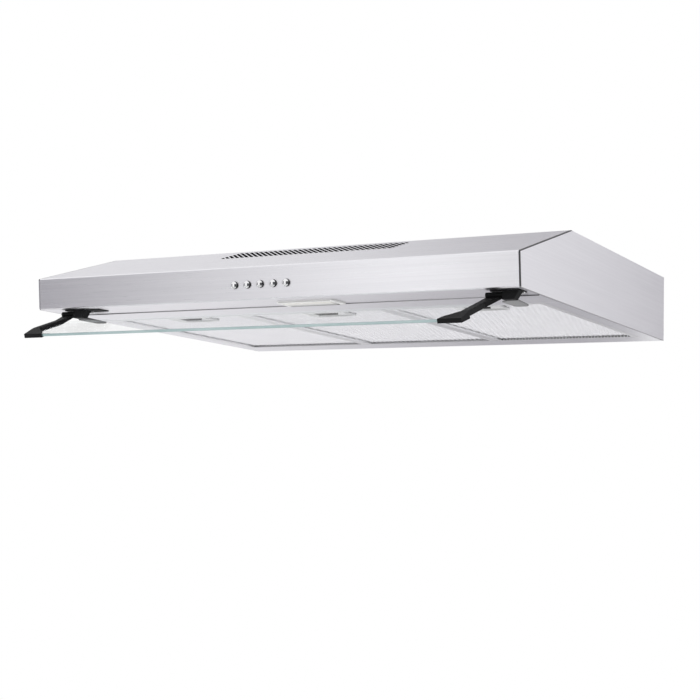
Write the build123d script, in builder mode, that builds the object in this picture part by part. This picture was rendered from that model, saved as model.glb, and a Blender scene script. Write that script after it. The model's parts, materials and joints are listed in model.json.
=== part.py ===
from build123d import *
import math
import os

# Under-cabinet range hood with a hinged glass visor, in millimetres.
# The origin is the centre of the cabinet screw pattern on the top face.
# +X runs to the right as seen from the front, +Y to the wall behind, +Z up.

# Canopy outline
hood_width = 600.0
hood_depth = 480.0
hood_height = 80.0
fascia_height = 35.5
fascia_lean = 4.0
slope_run = 141.0
mount_setback = 310.0

# Sheet metal and clearances
sheet = 1.0
bend_radius = 2.0
seam_gap = 0.5
body_gap = 0.3
pin_clearance = 0.05

# Underside strips
front_flange_depth = 52.0
lamp_panel_depth = 56.0
lamp_panel_lip = 9.0
lamp_panel_lap = 0.8
rear_flange_depth = 44.0
side_flange_width = 17.5
top_flange_width = 12.0
joint_strip_width = 20.0
joint_strip_thickness = 1.5

# Vent grille on the slope
grille_width = 225.0
grille_offset = 6.0
grille_depth = 47.0
grille_margin = 12.0
slot_width = 3.4
slot_pitch = 5.1
slot_angle = 39.0

# Push buttons and the switch behind them
button_count = 5
button_pitch = 16.2
button_offset = 5.0
button_rise = 16.5
button_radius = 3.9
button_proud = 4.6
button_dome = 2.0
button_skirt = 1.6
button_travel = 3.0
stem_radius = 2.5
stem_length = 9.0
switch_height = 18.0
switch_depth = 16.0
switch_end = 8.0

# Lamp
lamp_x = 47.0
lamp_setback = 34.0
lens_length = 60.0
lens_width = 20.0
lens_proud = 2.6
lens_step = 1.2
bezel_border = 6.0
bezel_thickness = 2.0
tray_height = 20.0
tray_wall = 1.5
board_thickness = 1.6
led_count = 5
led_size = 5.0
led_height = 1.5

# Cabinet screw holes
cabinet_spacing_x = 440.0
cabinet_spacing_y = 200.0
cabinet_hole_radius = 3.0

# Fan housing, a volute made of three quarter turns
volute_second = 108.0
volute_third = 98.0
housing_wall = 2.0
housing_height = 50.0
lid_thickness = 2.0
fan_setback = 212.0
inlet_radius = 64.0

# Motor and impeller
motor_radius = 42.0
motor_height = 37.0
motor_boss_radius = 9.0
motor_boss_height = 3.0
shaft_radius = 4.0
shaft_in_motor = 15.0
impeller_radius = 76.0
impeller_inner = 61.0
impeller_plate = 2.0
impeller_gap = 4.0
hub_radius = 10.0
hub_gap = 1.0
blade_count = 32
blade_thickness = 1.2
blade_angle = 35.0
bracket_thickness = 2.0
bracket_ring = 12.0
bracket_arm_width = 9.0
bracket_arm_count = 4

# Outlet collar and its damper flaps
collar_back_gap = 2.0
collar_radius = 60.0
collar_wall = 2.0
collar_height = 28.0
collar_step = 0.6
collar_flange = 14.0
collar_flange_thickness = 1.5
outlet_margin = 4.0
flap_ledge_width = 2.0
flap_ledge_thickness = 1.5
flap_ledge_top = 4.9
flap_thickness = 1.5
flap_pin_radius = 1.5
flap_pin_offset = 2.5
flap_pin_bite = 1.0
flap_rim_gap = 0.8

# Electrical pieces under the top
box_x = 140.0
box_setback = 86.0
box_length = 60.0
box_width = 46.0
box_height = 24.0
box_wall = 2.0
gland_bore_radius = 4.2
gland_radius = 8.0
gland_nut_radius = 12.0
gland_nut_height = 5.0
gland_rise = 11.0
gland_drop = 9.0
capacitor_x = 135.0
capacitor_setback = 242.0
capacitor_radius = 16.0
capacitor_length = 52.0
clip_width = 14.0
clip_thickness = 1.5
clip_foot = 44.0

# Grease filters
filter_count = 3
filter_gap = 0.8
filter_thickness = 9.0
frame_lip = 7.0
frame_wall = 1.2
mesh_recess = 2.0
mesh_thickness = 2.5
mesh_fit = 0.1
tab_width = 18.0
tab_length = 8.0
tab_thickness = 1.2
tab_spacing = 110.0

# Filter latches
latch_offset = 12.0
latch_setback = 10.0
pocket_length = 52.0
pocket_width = 32.0
pocket_wall = 1.2
pocket_ramp = 12.0
latch_plate_length = 15.5
latch_plate_width = 21.0
latch_thickness = 2.6
latch_drop = 3.2
latch_rib = 3.0
latch_rib_drop = 2.4
latch_travel = 5.0
tongue_width = 12.0
tongue_proud = 0.4

# Visor: hinge line, tilt at rest, glass and arms
hinge_setback = 14.0
hinge_drop = 4.4
visor_tilt = 19.5
hinge_pin_radius = 1.6
knuckle_radius = 2.9
knuckle_length = 18.0
visor_reach = 81.7
glass_thickness = 3.0
glass_drop = 5.5
glass_rear = 12.0
glass_inset = 42.6
arm_width = 9.0
arm_drop = 1.5
arm_thickness = 5.4
arm_root = 1.5
arm_taper = 26.0
arm_chamfer = 0.8
shoe_length = 18.0
shoe_draft = 1.0
shoe_skin = 0.8
shoe_front_wall = 1.0
shoe_tip_grip = 16.4
shoe_mid_grip = 12.0
shoe_waist_grip = 7.4

# Hinge brackets
hinge_plate_thickness = 1.0
hinge_plate_start = 5.0
hinge_plate_front = 3.0
hinge_plate_back = 15.0
hinge_plate_extra = 18.0
hinge_block_width = 18.4
hinge_block_lean = 6.0
hinge_block_front = 4.0
hinge_block_back = 6.0
hinge_block_below = 5.2
hinge_pin_grip = 10.0
hinge_side_gap = 0.6
hinge_leg_thickness = 1.6
hinge_leg_inner = 11.0
hinge_leg_width = 15.0
hinge_leg_end = 50.0
hinge_leg_clear = 10.0
hinge_leg_round = 5.0
hinge_screw_inset = 9.0
hinge_screw_edge = 3.0
hinge_screw_place = 10.0

# Screws
screw_radius = 1.5
screw_hole_radius = 1.6
screw_head_radius = 2.8
screw_head_height = 2.0

# Places worked out from the sizes above
y_front = -mount_setback
y_back = y_front + hood_depth
y_foot = y_front + fascia_lean
y_slope_top = y_front + slope_run
z_floor = -hood_height
z_brow = z_floor + fascia_height
shell_half = hood_width / 2 - sheet - seam_gap
y_flange_end = y_foot + front_flange_depth
y_lamp_start = y_flange_end + seam_gap
y_lamp_end = y_lamp_start + lamp_panel_depth
y_rail = y_back - rear_flange_depth

slope_rise = -z_brow
slope_length = math.hypot(slope_run, slope_rise)
slope_cos = slope_run / slope_length
slope_sin = slope_rise / slope_length
grille_place = slope_length - grille_margin - grille_depth / 2
slope_plane = Plane(
    origin=(grille_offset, y_front + grille_place * slope_cos, z_brow + grille_place * slope_sin),
    x_dir=(1, 0, 0),
    z_dir=(0, -slope_sin, slope_cos),
)
slot_step = slot_pitch / math.cos(math.radians(slot_angle))
slot_run = grille_depth * math.tan(math.radians(slot_angle))
slot_count = int((grille_width + slot_run) / slot_step) - 1
slot_places = [((i - (slot_count - 1) / 2) * slot_step, 0) for i in range(slot_count)]
slot_cut_length = 2 * grille_depth / math.cos(math.radians(slot_angle))

fascia_length = math.hypot(fascia_lean, fascia_height)
fascia_cos = fascia_height / fascia_length
fascia_sin = fascia_lean / fascia_length
button_plane = Plane(
    origin=(
        button_offset,
        y_foot - button_rise * fascia_sin,
        z_floor + button_rise * fascia_cos,
    ),
    x_dir=(1, 0, 0),
    z_dir=(0, -fascia_cos, -fascia_sin),
)
button_places = [((i - (button_count - 1) / 2) * button_pitch, 0) for i in range(button_count)]

lamp_y = y_foot + lamp_setback
lamp_hole_length = lens_length + 2 * lens_step
lamp_hole_width = lens_width + 2 * lens_step
bezel_length = lens_length + 2 * bezel_border
bezel_width = lens_width + 2 * bezel_border
z_sheet = z_floor + sheet

outlet_width = 2 * (collar_radius + outlet_margin)
volute_first = outlet_width - volute_second + volute_third
collar_y = y_back - collar_back_gap - collar_flange - collar_radius
box_y = y_back - box_setback
capacitor_y = y_back - capacitor_setback
outlet_right = outlet_width / 2
outlet_end = collar_y + outlet_width / 2
fan_x = outlet_right - volute_first
fan_y = y_back - fan_setback
z_lid = -sheet - lid_thickness
z_housing = z_lid - housing_height
collar_root = collar_radius - collar_step
collar_screw_radius = collar_radius + collar_flange / 2
bracket_screw_radius = inlet_radius + bracket_ring / 2

filter_bay = hood_width - 2 * side_flange_width
filter_pitch = filter_bay / filter_count
filter_width = filter_pitch - filter_gap
filter_front = y_lamp_end + filter_gap
filter_rear = y_rail - filter_gap
filter_depth = filter_rear - filter_front
filter_y = (filter_front + filter_rear) / 2
pocket_front = filter_front + latch_setback
pocket_y = pocket_front + pocket_width / 2
z_latch = z_floor + latch_drop

hinge_y = y_foot + hinge_setback
hinge_z = z_floor - hinge_drop
visor_plane = Plane(
    origin=(0, hinge_y, hinge_z),
    x_dir=(1, 0, 0),
    z_dir=(0, -math.sin(math.radians(visor_tilt)), math.cos(math.radians(visor_tilt))),
)
side_plane = Plane(
    origin=visor_plane.origin,
    x_dir=visor_plane.y_dir,
    z_dir=(1, 0, 0),
)
arm_top = -arm_drop
arm_bottom = arm_top - arm_thickness
glass_top = -glass_drop
glass_bottom = glass_top - glass_thickness
glass_half = hood_width / 2 - glass_inset
glass_front = visor_reach - shoe_front_wall
shoe_back = visor_reach - shoe_length
shoe_bottom = glass_bottom - shoe_skin
knuckle_inner = glass_half + 2 * body_gap
knuckle_outer = knuckle_inner + knuckle_length
arm_outer = knuckle_inner + arm_width
shoe_outer = arm_outer - shoe_draft
bracket_starts = {"left": -knuckle_outer, "right": knuckle_inner}
bracket_extras = {"left": hinge_plate_extra, "right": 0.0}
hinge_block_start = knuckle_length + hinge_side_gap
hinge_block_end = hinge_block_start + hinge_block_width
z_block = hinge_z - hinge_block_below
z_hinge_seat = z_floor - hinge_plate_thickness

os.makedirs("parts", exist_ok=True)


def save(part, name):
    """Label a finished piece and write its STEP file."""
    part.label = name
    export_step(part, f"parts/{name}.step")


def slab(x_span, y_span, z_span, mode=Mode.ADD):
    """Box between the low and high value on each axis, in the current part."""
    spans = (x_span, y_span, z_span)
    with Locations(tuple((low + high) / 2 for low, high in spans)):
        Box(*(high - low for low, high in spans), mode=mode)


def drill(places, radius, z_span):
    """Round holes along Z through the current part."""
    low, high = z_span
    with BuildSketch(Plane.XY.offset(low)) as rounds:
        with Locations(*places):
            Circle(radius)
    extrude(rounds.sketch, amount=high - low, mode=Mode.SUBTRACT)


def screw(places, z_seat, length, direction):
    """Pan-head screws whose heads bear on z_seat and whose shanks run along Z."""
    with BuildSketch(Plane.XY.offset(z_seat)) as heads:
        with Locations(*places):
            Circle(screw_head_radius)
    extrude(heads.sketch, amount=-direction * screw_head_height)
    with BuildSketch(Plane.XY.offset(z_seat)) as shanks:
        with Locations(*places):
            Circle(screw_radius)
    extrude(shanks.sketch, amount=direction * length)


def polar(centre, radius, count, start=0.0):
    """Points spaced evenly on a circle."""
    angles = [math.radians(start + 360 * i / count) for i in range(count)]
    return [(centre[0] + radius * math.cos(a), centre[1] + radius * math.sin(a)) for a in angles]


def hinge_screw_places(start):
    """Two screws through the plate of one hinge bracket."""
    along = (hinge_screw_inset, hinge_block_end - hinge_screw_edge)
    return [(start + x, hinge_y + hinge_screw_place) for x in along]


cabinet_holes = [
    (sx * cabinet_spacing_x / 2, sy * cabinet_spacing_y / 2) for sx in (-1, 1) for sy in (-1, 1)
]
collar_screws_at = polar((0, collar_y), collar_screw_radius, 4, 45)
motor_screws_at = polar((fan_x, fan_y), bracket_screw_radius, bracket_arm_count)
hinge_screws_at = [place for start in bracket_starts.values() for place in hinge_screw_places(start)]

# Canopy: one folded sheet from the front return flange over fascia and slope to the back
with BuildPart() as canopy_shell:
    with BuildSketch(Plane.YZ):
        with BuildLine():
            FilletPolyline(
                (y_flange_end, z_floor),
                (y_foot, z_floor),
                (y_front, z_brow),
                (y_slope_top, 0),
                (y_back - sheet, 0),
                radius=bend_radius,
            )
            offset(amount=sheet, side=Side.RIGHT)
        make_face()
    extrude(amount=shell_half, both=True)
    with BuildSketch(slope_plane):
        with Locations(*slot_places):
            Rectangle(slot_width, slot_cut_length, rotation=slot_angle)
        Rectangle(grille_width, grille_depth, mode=Mode.INTERSECT)
    extrude(amount=2 * sheet, both=True, mode=Mode.SUBTRACT)
    with BuildSketch(button_plane):
        with Locations(*button_places):
            Circle(button_radius + body_gap)
    extrude(amount=2 * sheet, both=True, mode=Mode.SUBTRACT)
    with BuildSketch(Plane.XY.offset(z_floor)):
        with Locations((lamp_x, lamp_y)):
            Rectangle(lamp_hole_length, lamp_hole_width)
    extrude(amount=sheet, mode=Mode.SUBTRACT)
    drill([(0, collar_y)], collar_root + body_gap, (-sheet, 0))
    drill([(box_x, box_y)], gland_radius + body_gap, (-sheet, 0))
    drill(cabinet_holes, cabinet_hole_radius, (-sheet, 0))
    drill(collar_screws_at, screw_hole_radius, (-sheet, 0))
    drill(hinge_screws_at, screw_hole_radius, (z_floor, z_sheet))
save(canopy_shell.part, "canopy_shell")

# End panels: the side outline with folded flanges at the bottom and under the top
for side, tag in ((-1, "left"), (1, "right")):
    outer = hood_width / 2
    with BuildPart() as end_panel:
        with BuildSketch(Plane.YZ.offset(side * outer)):
            with BuildLine():
                Polyline(
                    (y_foot, z_floor),
                    (y_front, z_brow),
                    (y_slope_top, 0),
                    (y_back, 0),
                    (y_back, z_floor),
                    close=True,
                )
            make_face()
            front_corners = vertices().sort_by(Axis.X)[:3]
            fillet(front_corners, radius=bend_radius)
        extrude(amount=-side * sheet)
        bottom_span = sorted((side * outer, side * (outer - side_flange_width)))
        slab(bottom_span, (y_lamp_end + seam_gap, y_rail - seam_gap), (z_floor, z_sheet))
        top_span = sorted((side * (outer - sheet), side * (outer - top_flange_width)))
        slab(top_span, (y_slope_top + bend_radius, y_back - sheet), (-2 * sheet, -sheet))
    save(end_panel.part, f"end_panel_{tag}")

# Back panel with the rear underside strip that carries the filters
with BuildPart() as back_panel:
    slab((-shell_half, shell_half), (y_back - sheet, y_back), (z_floor, 0))
    slab((-shell_half, shell_half), (y_rail, y_back), (z_floor, z_sheet))
save(back_panel.part, "back_panel")

# Lamp panel: the second underside strip, with an upturned lip in front of the filters
with BuildPart() as lamp_panel:
    with BuildSketch(Plane.YZ):
        with BuildLine():
            FilletPolyline(
                (y_lamp_end, z_floor + lamp_panel_lip),
                (y_lamp_end, z_floor),
                (y_lamp_start, z_floor),
                radius=bend_radius,
            )
            offset(amount=sheet, side=Side.RIGHT)
        make_face()
    extrude(amount=shell_half, both=True)
    slab(
        (-shell_half, shell_half),
        (y_lamp_start, y_lamp_start + sheet),
        (z_floor - lamp_panel_lap, z_floor),
    )
save(lamp_panel.part, "lamp_panel")

# Joint strips above the seam, one on each side of the lamp
strip_gap = bezel_length / 2 + seam_gap
strip_y = (y_flange_end - joint_strip_width / 2, y_flange_end + joint_strip_width / 2)
strip_z = (z_sheet, z_sheet + joint_strip_thickness)
with BuildPart() as underside_joint_strip:
    slab((-shell_half, lamp_x - strip_gap), strip_y, strip_z)
    slab((lamp_x + strip_gap, shell_half), strip_y, strip_z)
save(underside_joint_strip.part, "underside_joint_strip")

# Lamp bezel under the sheet, round the lens
with BuildPart() as lamp_bezel:
    with BuildSketch(Plane.XY.offset(z_floor)):
        with Locations((lamp_x, lamp_y)):
            RectangleRounded(bezel_length, bezel_width, bezel_border)
            Rectangle(lens_length + 2 * mesh_fit, lens_width + 2 * mesh_fit, mode=Mode.SUBTRACT)
    extrude(amount=-bezel_thickness)
    chamfer(faces().sort_by(Axis.Z)[0].outer_wire().edges(), length=bezel_thickness / 2)
save(lamp_bezel.part, "lamp_bezel")

# Lamp lens: the clear window with a step that rests on the bezel
with BuildPart() as lamp_lens:
    with BuildSketch(Plane.XY.offset(z_floor - lens_proud)):
        with Locations((lamp_x, lamp_y)):
            Rectangle(lens_length, lens_width)
    extrude(amount=lens_proud)
    with BuildSketch(Plane.XY.offset(z_floor)):
        with Locations((lamp_x, lamp_y)):
            Rectangle(lamp_hole_length - 2 * mesh_fit, lamp_hole_width - 2 * mesh_fit)
    extrude(amount=sheet)
    chamfer(faces().sort_by(Axis.Z)[0].outer_wire().edges(), length=lens_proud / 4)
save(lamp_lens.part, "lamp_lens")

# Lamp tray above the sheet
with BuildPart() as lamp_tray:
    with BuildSketch(Plane.XY.offset(z_sheet)):
        with Locations((lamp_x, lamp_y)):
            Rectangle(bezel_length, bezel_width)
    extrude(amount=tray_height)
    with BuildSketch(Plane.XY.offset(z_sheet)):
        with Locations((lamp_x, lamp_y)):
            Rectangle(bezel_length - 2 * tray_wall, bezel_width - 2 * tray_wall)
    extrude(amount=tray_height - tray_wall, mode=Mode.SUBTRACT)
save(lamp_tray.part, "lamp_tray")

# Lamp board with its row of light chips, on the tray's ceiling
z_board = z_sheet + tray_height - tray_wall
led_step = lens_length / led_count
led_places = [(lamp_x + (i - (led_count - 1) / 2) * led_step, lamp_y) for i in range(led_count)]
with BuildPart() as lamp_board:
    with BuildSketch(Plane.XY.offset(z_board)):
        with Locations((lamp_x, lamp_y)):
            Rectangle(lens_length, lens_width)
    extrude(amount=-board_thickness)
    with BuildSketch(Plane.XY.offset(z_board - board_thickness)):
        with Locations(*led_places):
            Rectangle(led_size, led_size)
    extrude(amount=-led_height)
save(lamp_board.part, "lamp_board")

# Switch block against the inside of the fascia, bored for caps and stems
with BuildPart() as switch_block:
    with BuildSketch(button_plane.offset(-sheet)):
        Rectangle((button_count - 1) * button_pitch + 2 * (button_radius + switch_end), switch_height)
    extrude(amount=-switch_depth)
    with BuildSketch(button_plane.offset(-sheet)):
        with Locations(*button_places):
            Circle(button_radius + body_gap)
    extrude(amount=-(button_skirt + button_travel), mode=Mode.SUBTRACT)
    with BuildSketch(button_plane.offset(-sheet)):
        with Locations(*button_places):
            Circle(stem_radius + body_gap)
    extrude(amount=-(button_skirt + stem_length + button_travel), mode=Mode.SUBTRACT)
save(switch_block.part, "switch_block")

# Push buttons: a domed cap through the fascia on a stem in the switch
for number, place in enumerate(button_places, start=1):
    dome_chord = button_radius
    dome_ball = (dome_chord**2 + button_dome**2) / (2 * button_dome)
    button_axis = Plane(
        origin=button_plane.from_local_coords(Vector(*place)),
        x_dir=(1, 0, 0),
        z_dir=button_plane.z_dir,
    )
    profile_plane = Plane(origin=button_axis.origin, x_dir=(1, 0, 0), z_dir=-button_axis.y_dir)
    z_skirt = -button_skirt
    z_stem = z_skirt - stem_length
    z_rim = button_proud - button_dome
    arc_x = dome_ball * math.sin(0.5 * math.asin(dome_chord / dome_ball))
    arc_z = button_proud - dome_ball + math.sqrt(dome_ball**2 - arc_x**2)
    with BuildPart() as button:
        with BuildSketch(profile_plane):
            with BuildLine():
                Polyline(
                    (0, button_proud),
                    (0, z_stem),
                    (stem_radius, z_stem),
                    (stem_radius, z_skirt),
                    (button_radius, z_skirt),
                    (button_radius, z_rim),
                )
                ThreePointArc((button_radius, z_rim), (arc_x, arc_z), (0, button_proud))
            make_face()
        revolve(axis=Axis(button_axis.origin, button_axis.z_dir))
    save(button.part, f"button_{number}")


def volute_outline():
    """Fan outline in plan: outlet wall, three quarter turns and back along the outlet."""
    with BuildLine() as outline:
        outer_wall = Line((outlet_right, outlet_end), (outlet_right, fan_y))
        first = JernArc(outer_wall @ 1, (0, -1), volute_first, -90)
        second = JernArc(first @ 1, (-1, 0), volute_second, -90)
        third = JernArc(second @ 1, (0, 1), volute_third, -90)
        Polyline(third @ 1, ((third @ 1).X, outlet_end), (outlet_right, outlet_end))
    make_face(outline.edges())


# Fan housing: floor and wall of the volute, with the round inlet below
with BuildPart() as fan_housing:
    with BuildSketch(Plane.XY.offset(z_housing)):
        volute_outline()
    extrude(amount=housing_height)
    with BuildSketch(Plane.XY.offset(z_housing + housing_wall)):
        volute_outline()
        offset(amount=-housing_wall, mode=Mode.REPLACE)
    extrude(amount=housing_height, mode=Mode.SUBTRACT)
    drill([(fan_x, fan_y)], inlet_radius, (z_housing, z_housing + housing_wall))
    drill(motor_screws_at, screw_hole_radius, (z_housing, z_housing + housing_wall))
save(fan_housing.part, "fan_housing")

# Fan housing lid under the canopy top, with the outlet hole
with BuildPart() as fan_housing_lid:
    with BuildSketch(Plane.XY.offset(z_lid)):
        volute_outline()
    extrude(amount=lid_thickness)
    drill([(0, collar_y)], collar_root + body_gap, (z_lid, -sheet))
    drill(collar_screws_at, screw_hole_radius, (z_lid, -sheet))
save(fan_housing_lid.part, "fan_housing_lid")

# Motor bracket across the inlet: a ring, spokes and the motor's seat
z_bracket = z_housing - bracket_thickness
with BuildPart() as motor_bracket:
    with BuildSketch(Plane.XY.offset(z_bracket)):
        with Locations((fan_x, fan_y)):
            Circle(inlet_radius + bracket_ring)
            Circle(inlet_radius, mode=Mode.SUBTRACT)
            Circle(motor_radius)
            with PolarLocations(0, bracket_arm_count):
                with Locations(((motor_radius + inlet_radius) / 2, 0)):
                    Rectangle(inlet_radius - motor_radius + bracket_ring, bracket_arm_width)
    extrude(amount=bracket_thickness)
    drill(motor_screws_at, screw_hole_radius, (z_bracket, z_housing))
save(motor_bracket.part, "motor_bracket")

# Motor standing on the bracket inside the impeller
z_motor_top = z_housing + motor_height
with BuildPart() as fan_motor:
    with BuildSketch(Plane.XY.offset(z_housing)):
        with Locations((fan_x, fan_y)):
            Circle(motor_radius)
    extrude(amount=motor_height)
    fillet(edges().group_by(Axis.Z)[-1], radius=motor_boss_height)
    with BuildSketch(Plane.XY.offset(z_motor_top)):
        with Locations((fan_x, fan_y)):
            Circle(motor_boss_radius)
    extrude(amount=motor_boss_height)
    bore_foot = z_motor_top + motor_boss_height - shaft_in_motor
    drill([(fan_x, fan_y)], shaft_radius + pin_clearance, (bore_foot, z_motor_top + motor_boss_height))
save(fan_motor.part, "fan_motor")

# Motor shaft from the motor's bore to the impeller's plate
z_plate_top = z_lid - impeller_gap
shaft_foot = bore_foot + body_gap
with BuildPart() as motor_shaft:
    with BuildSketch(Plane.XY.offset(shaft_foot)):
        with Locations((fan_x, fan_y)):
            Circle(shaft_radius)
    extrude(amount=z_plate_top - shaft_foot)
save(motor_shaft.part, "motor_shaft")

# Impeller: top plate and hub, blades and a bottom ring
z_plate = z_plate_top - impeller_plate
z_ring = z_housing + housing_wall + impeller_gap
z_hub = z_motor_top + motor_boss_height + hub_gap
blade_radius = (impeller_radius + impeller_inner) / 2
blade_span = (impeller_radius - impeller_inner) * 0.9
with BuildPart() as impeller:
    with BuildSketch(Plane.XY.offset(z_plate)):
        with Locations((fan_x, fan_y)):
            Circle(impeller_radius)
    extrude(amount=impeller_plate)
    with BuildSketch(Plane.XY.offset(z_hub)):
        with Locations((fan_x, fan_y)):
            Circle(hub_radius)
    extrude(amount=z_plate_top - z_hub)
    with BuildSketch(Plane.XY.offset(z_ring)):
        with Locations((fan_x, fan_y)):
            Circle(impeller_radius)
            Circle(impeller_inner, mode=Mode.SUBTRACT)
    extrude(amount=impeller_plate)
    with BuildSketch(Plane.XY.offset(z_ring)):
        with Locations((fan_x, fan_y)):
            with PolarLocations(blade_radius, blade_count):
                Rectangle(blade_span, blade_thickness, rotation=blade_angle)
    extrude(amount=z_plate_top - z_ring)
    drill([(fan_x, fan_y)], shaft_radius, (z_hub, z_plate_top))
save(impeller.part, "impeller")

# Outlet flange: a flat ring screwed to the top, which holds the spigot
with BuildPart() as outlet_flange:
    with BuildSketch(Plane.XY):
        with Locations((0, collar_y)):
            Circle(collar_radius + collar_flange)
            Circle(collar_root + pin_clearance, mode=Mode.SUBTRACT)
    extrude(amount=collar_flange_thickness)
    drill(collar_screws_at, screw_hole_radius, (0, collar_flange_thickness))
save(outlet_flange.part, "outlet_flange")

# Outlet spigot: the duct tube, which stands with a shoulder on the flange and holds the damper
collar_inner = collar_radius - collar_wall
z_flap_pin = flap_ledge_top + body_gap + flap_pin_radius
flap_pin_places = {"front": collar_y - flap_pin_offset, "rear": collar_y + flap_pin_offset}
with BuildPart() as outlet_spigot:
    with BuildSketch(Plane.XY.offset(z_lid)):
        with Locations((0, collar_y)):
            Circle(collar_root)
            Circle(collar_inner, mode=Mode.SUBTRACT)
    extrude(amount=collar_flange_thickness - z_lid)
    with BuildSketch(Plane.XY.offset(collar_flange_thickness)):
        with Locations((0, collar_y)):
            Circle(collar_radius)
            Circle(collar_inner, mode=Mode.SUBTRACT)
    extrude(amount=collar_height - collar_flange_thickness)
    with BuildSketch(Plane.XY.offset(flap_ledge_top - flap_ledge_thickness)):
        with Locations((0, collar_y)):
            Circle(collar_radius - collar_wall / 2)
            Circle(collar_inner - flap_ledge_width, mode=Mode.SUBTRACT)
    extrude(amount=flap_ledge_thickness)
    with BuildSketch(Plane.YZ):
        with Locations(*[(y, z_flap_pin) for y in flap_pin_places.values()]):
            Circle(flap_pin_radius + pin_clearance)
    pin_reach = collar_inner + flap_pin_bite + pin_clearance
    extrude(amount=pin_reach, both=True, mode=Mode.SUBTRACT)
save(outlet_spigot.part, "outlet_spigot")

# Damper flaps: two half discs on their own pins, closed at rest
flap_radius = collar_inner - flap_rim_gap
z_flap = flap_ledge_top + body_gap
for tag, pin_y in flap_pin_places.items():
    away = -1 if tag == "front" else 1
    with BuildPart() as damper_flap:
        with BuildSketch(Plane.XY.offset(z_flap)):
            with Locations((0, collar_y)):
                Circle(flap_radius)
            with Locations((0, pin_y + away * collar_radius)):
                Rectangle(2 * collar_radius, 2 * collar_radius, mode=Mode.INTERSECT)
        extrude(amount=flap_thickness)
        with BuildSketch(Plane.YZ):
            with Locations((pin_y, z_flap_pin)):
                Circle(flap_pin_radius)
        pin_half = math.sqrt(collar_inner**2 - flap_pin_offset**2) + flap_pin_bite - body_gap
        extrude(amount=pin_half, both=True)
    save(damper_flap.part, f"damper_flap_{tag}")

# Terminal box under the top, and its cover
box_x_span = (box_x - box_length / 2, box_x + box_length / 2)
box_y_span = (box_y - box_width / 2, box_y + box_width / 2)
z_box = -sheet - box_height
with BuildPart() as terminal_box:
    slab(box_x_span, box_y_span, (z_box, -sheet))
    slab(
        (box_x_span[0] + box_wall, box_x_span[1] - box_wall),
        (box_y_span[0] + box_wall, box_y_span[1] - box_wall),
        (z_box, -sheet - box_wall),
        mode=Mode.SUBTRACT,
    )
    drill([(box_x, box_y)], gland_radius + body_gap, (z_box, -sheet))
save(terminal_box.part, "terminal_box")

with BuildPart() as terminal_cover:
    slab(box_x_span, box_y_span, (z_box - box_wall, z_box))
save(terminal_cover.part, "terminal_cover")

# Cable gland through the top into the terminal box
with BuildPart() as cable_gland:
    with BuildSketch(Plane.XY.offset(-gland_drop)):
        with Locations((box_x, box_y)):
            Circle(gland_radius)
    extrude(amount=gland_drop + gland_rise)
    with BuildSketch(Plane.XY):
        with Locations((box_x, box_y)):
            RegularPolygon(gland_nut_radius, 6)
    extrude(amount=gland_nut_height)
    drill([(box_x, box_y)], gland_bore_radius, (-gland_drop, gland_rise))
    chamfer(edges().group_by(Axis.Z)[-1], length=sheet)
save(cable_gland.part, "cable_gland")

# Motor capacitor in its clip under the top
clip_radius = capacitor_radius + mesh_fit + clip_thickness
capacitor_z = -sheet - clip_radius
capacitor_plane = Plane(origin=(capacitor_x, capacitor_y, capacitor_z), x_dir=(0, 1, 0), z_dir=(1, 0, 0))
with BuildPart() as capacitor:
    with BuildSketch(capacitor_plane):
        Circle(capacitor_radius)
    extrude(amount=capacitor_length / 2, both=True)
    fillet(edges().filter_by(GeomType.CIRCLE), radius=clip_thickness)
save(capacitor.part, "capacitor")

with BuildPart() as capacitor_clip:
    with BuildSketch(capacitor_plane):
        Circle(clip_radius)
        Circle(capacitor_radius + mesh_fit, mode=Mode.SUBTRACT)
    extrude(amount=clip_width / 2, both=True)
    slab(
        (capacitor_x - clip_width / 2, capacitor_x + clip_width / 2),
        (capacitor_y - clip_foot / 2, capacitor_y + clip_foot / 2),
        (-sheet - clip_thickness, -sheet),
    )
save(capacitor_clip.part, "capacitor_clip")

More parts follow.
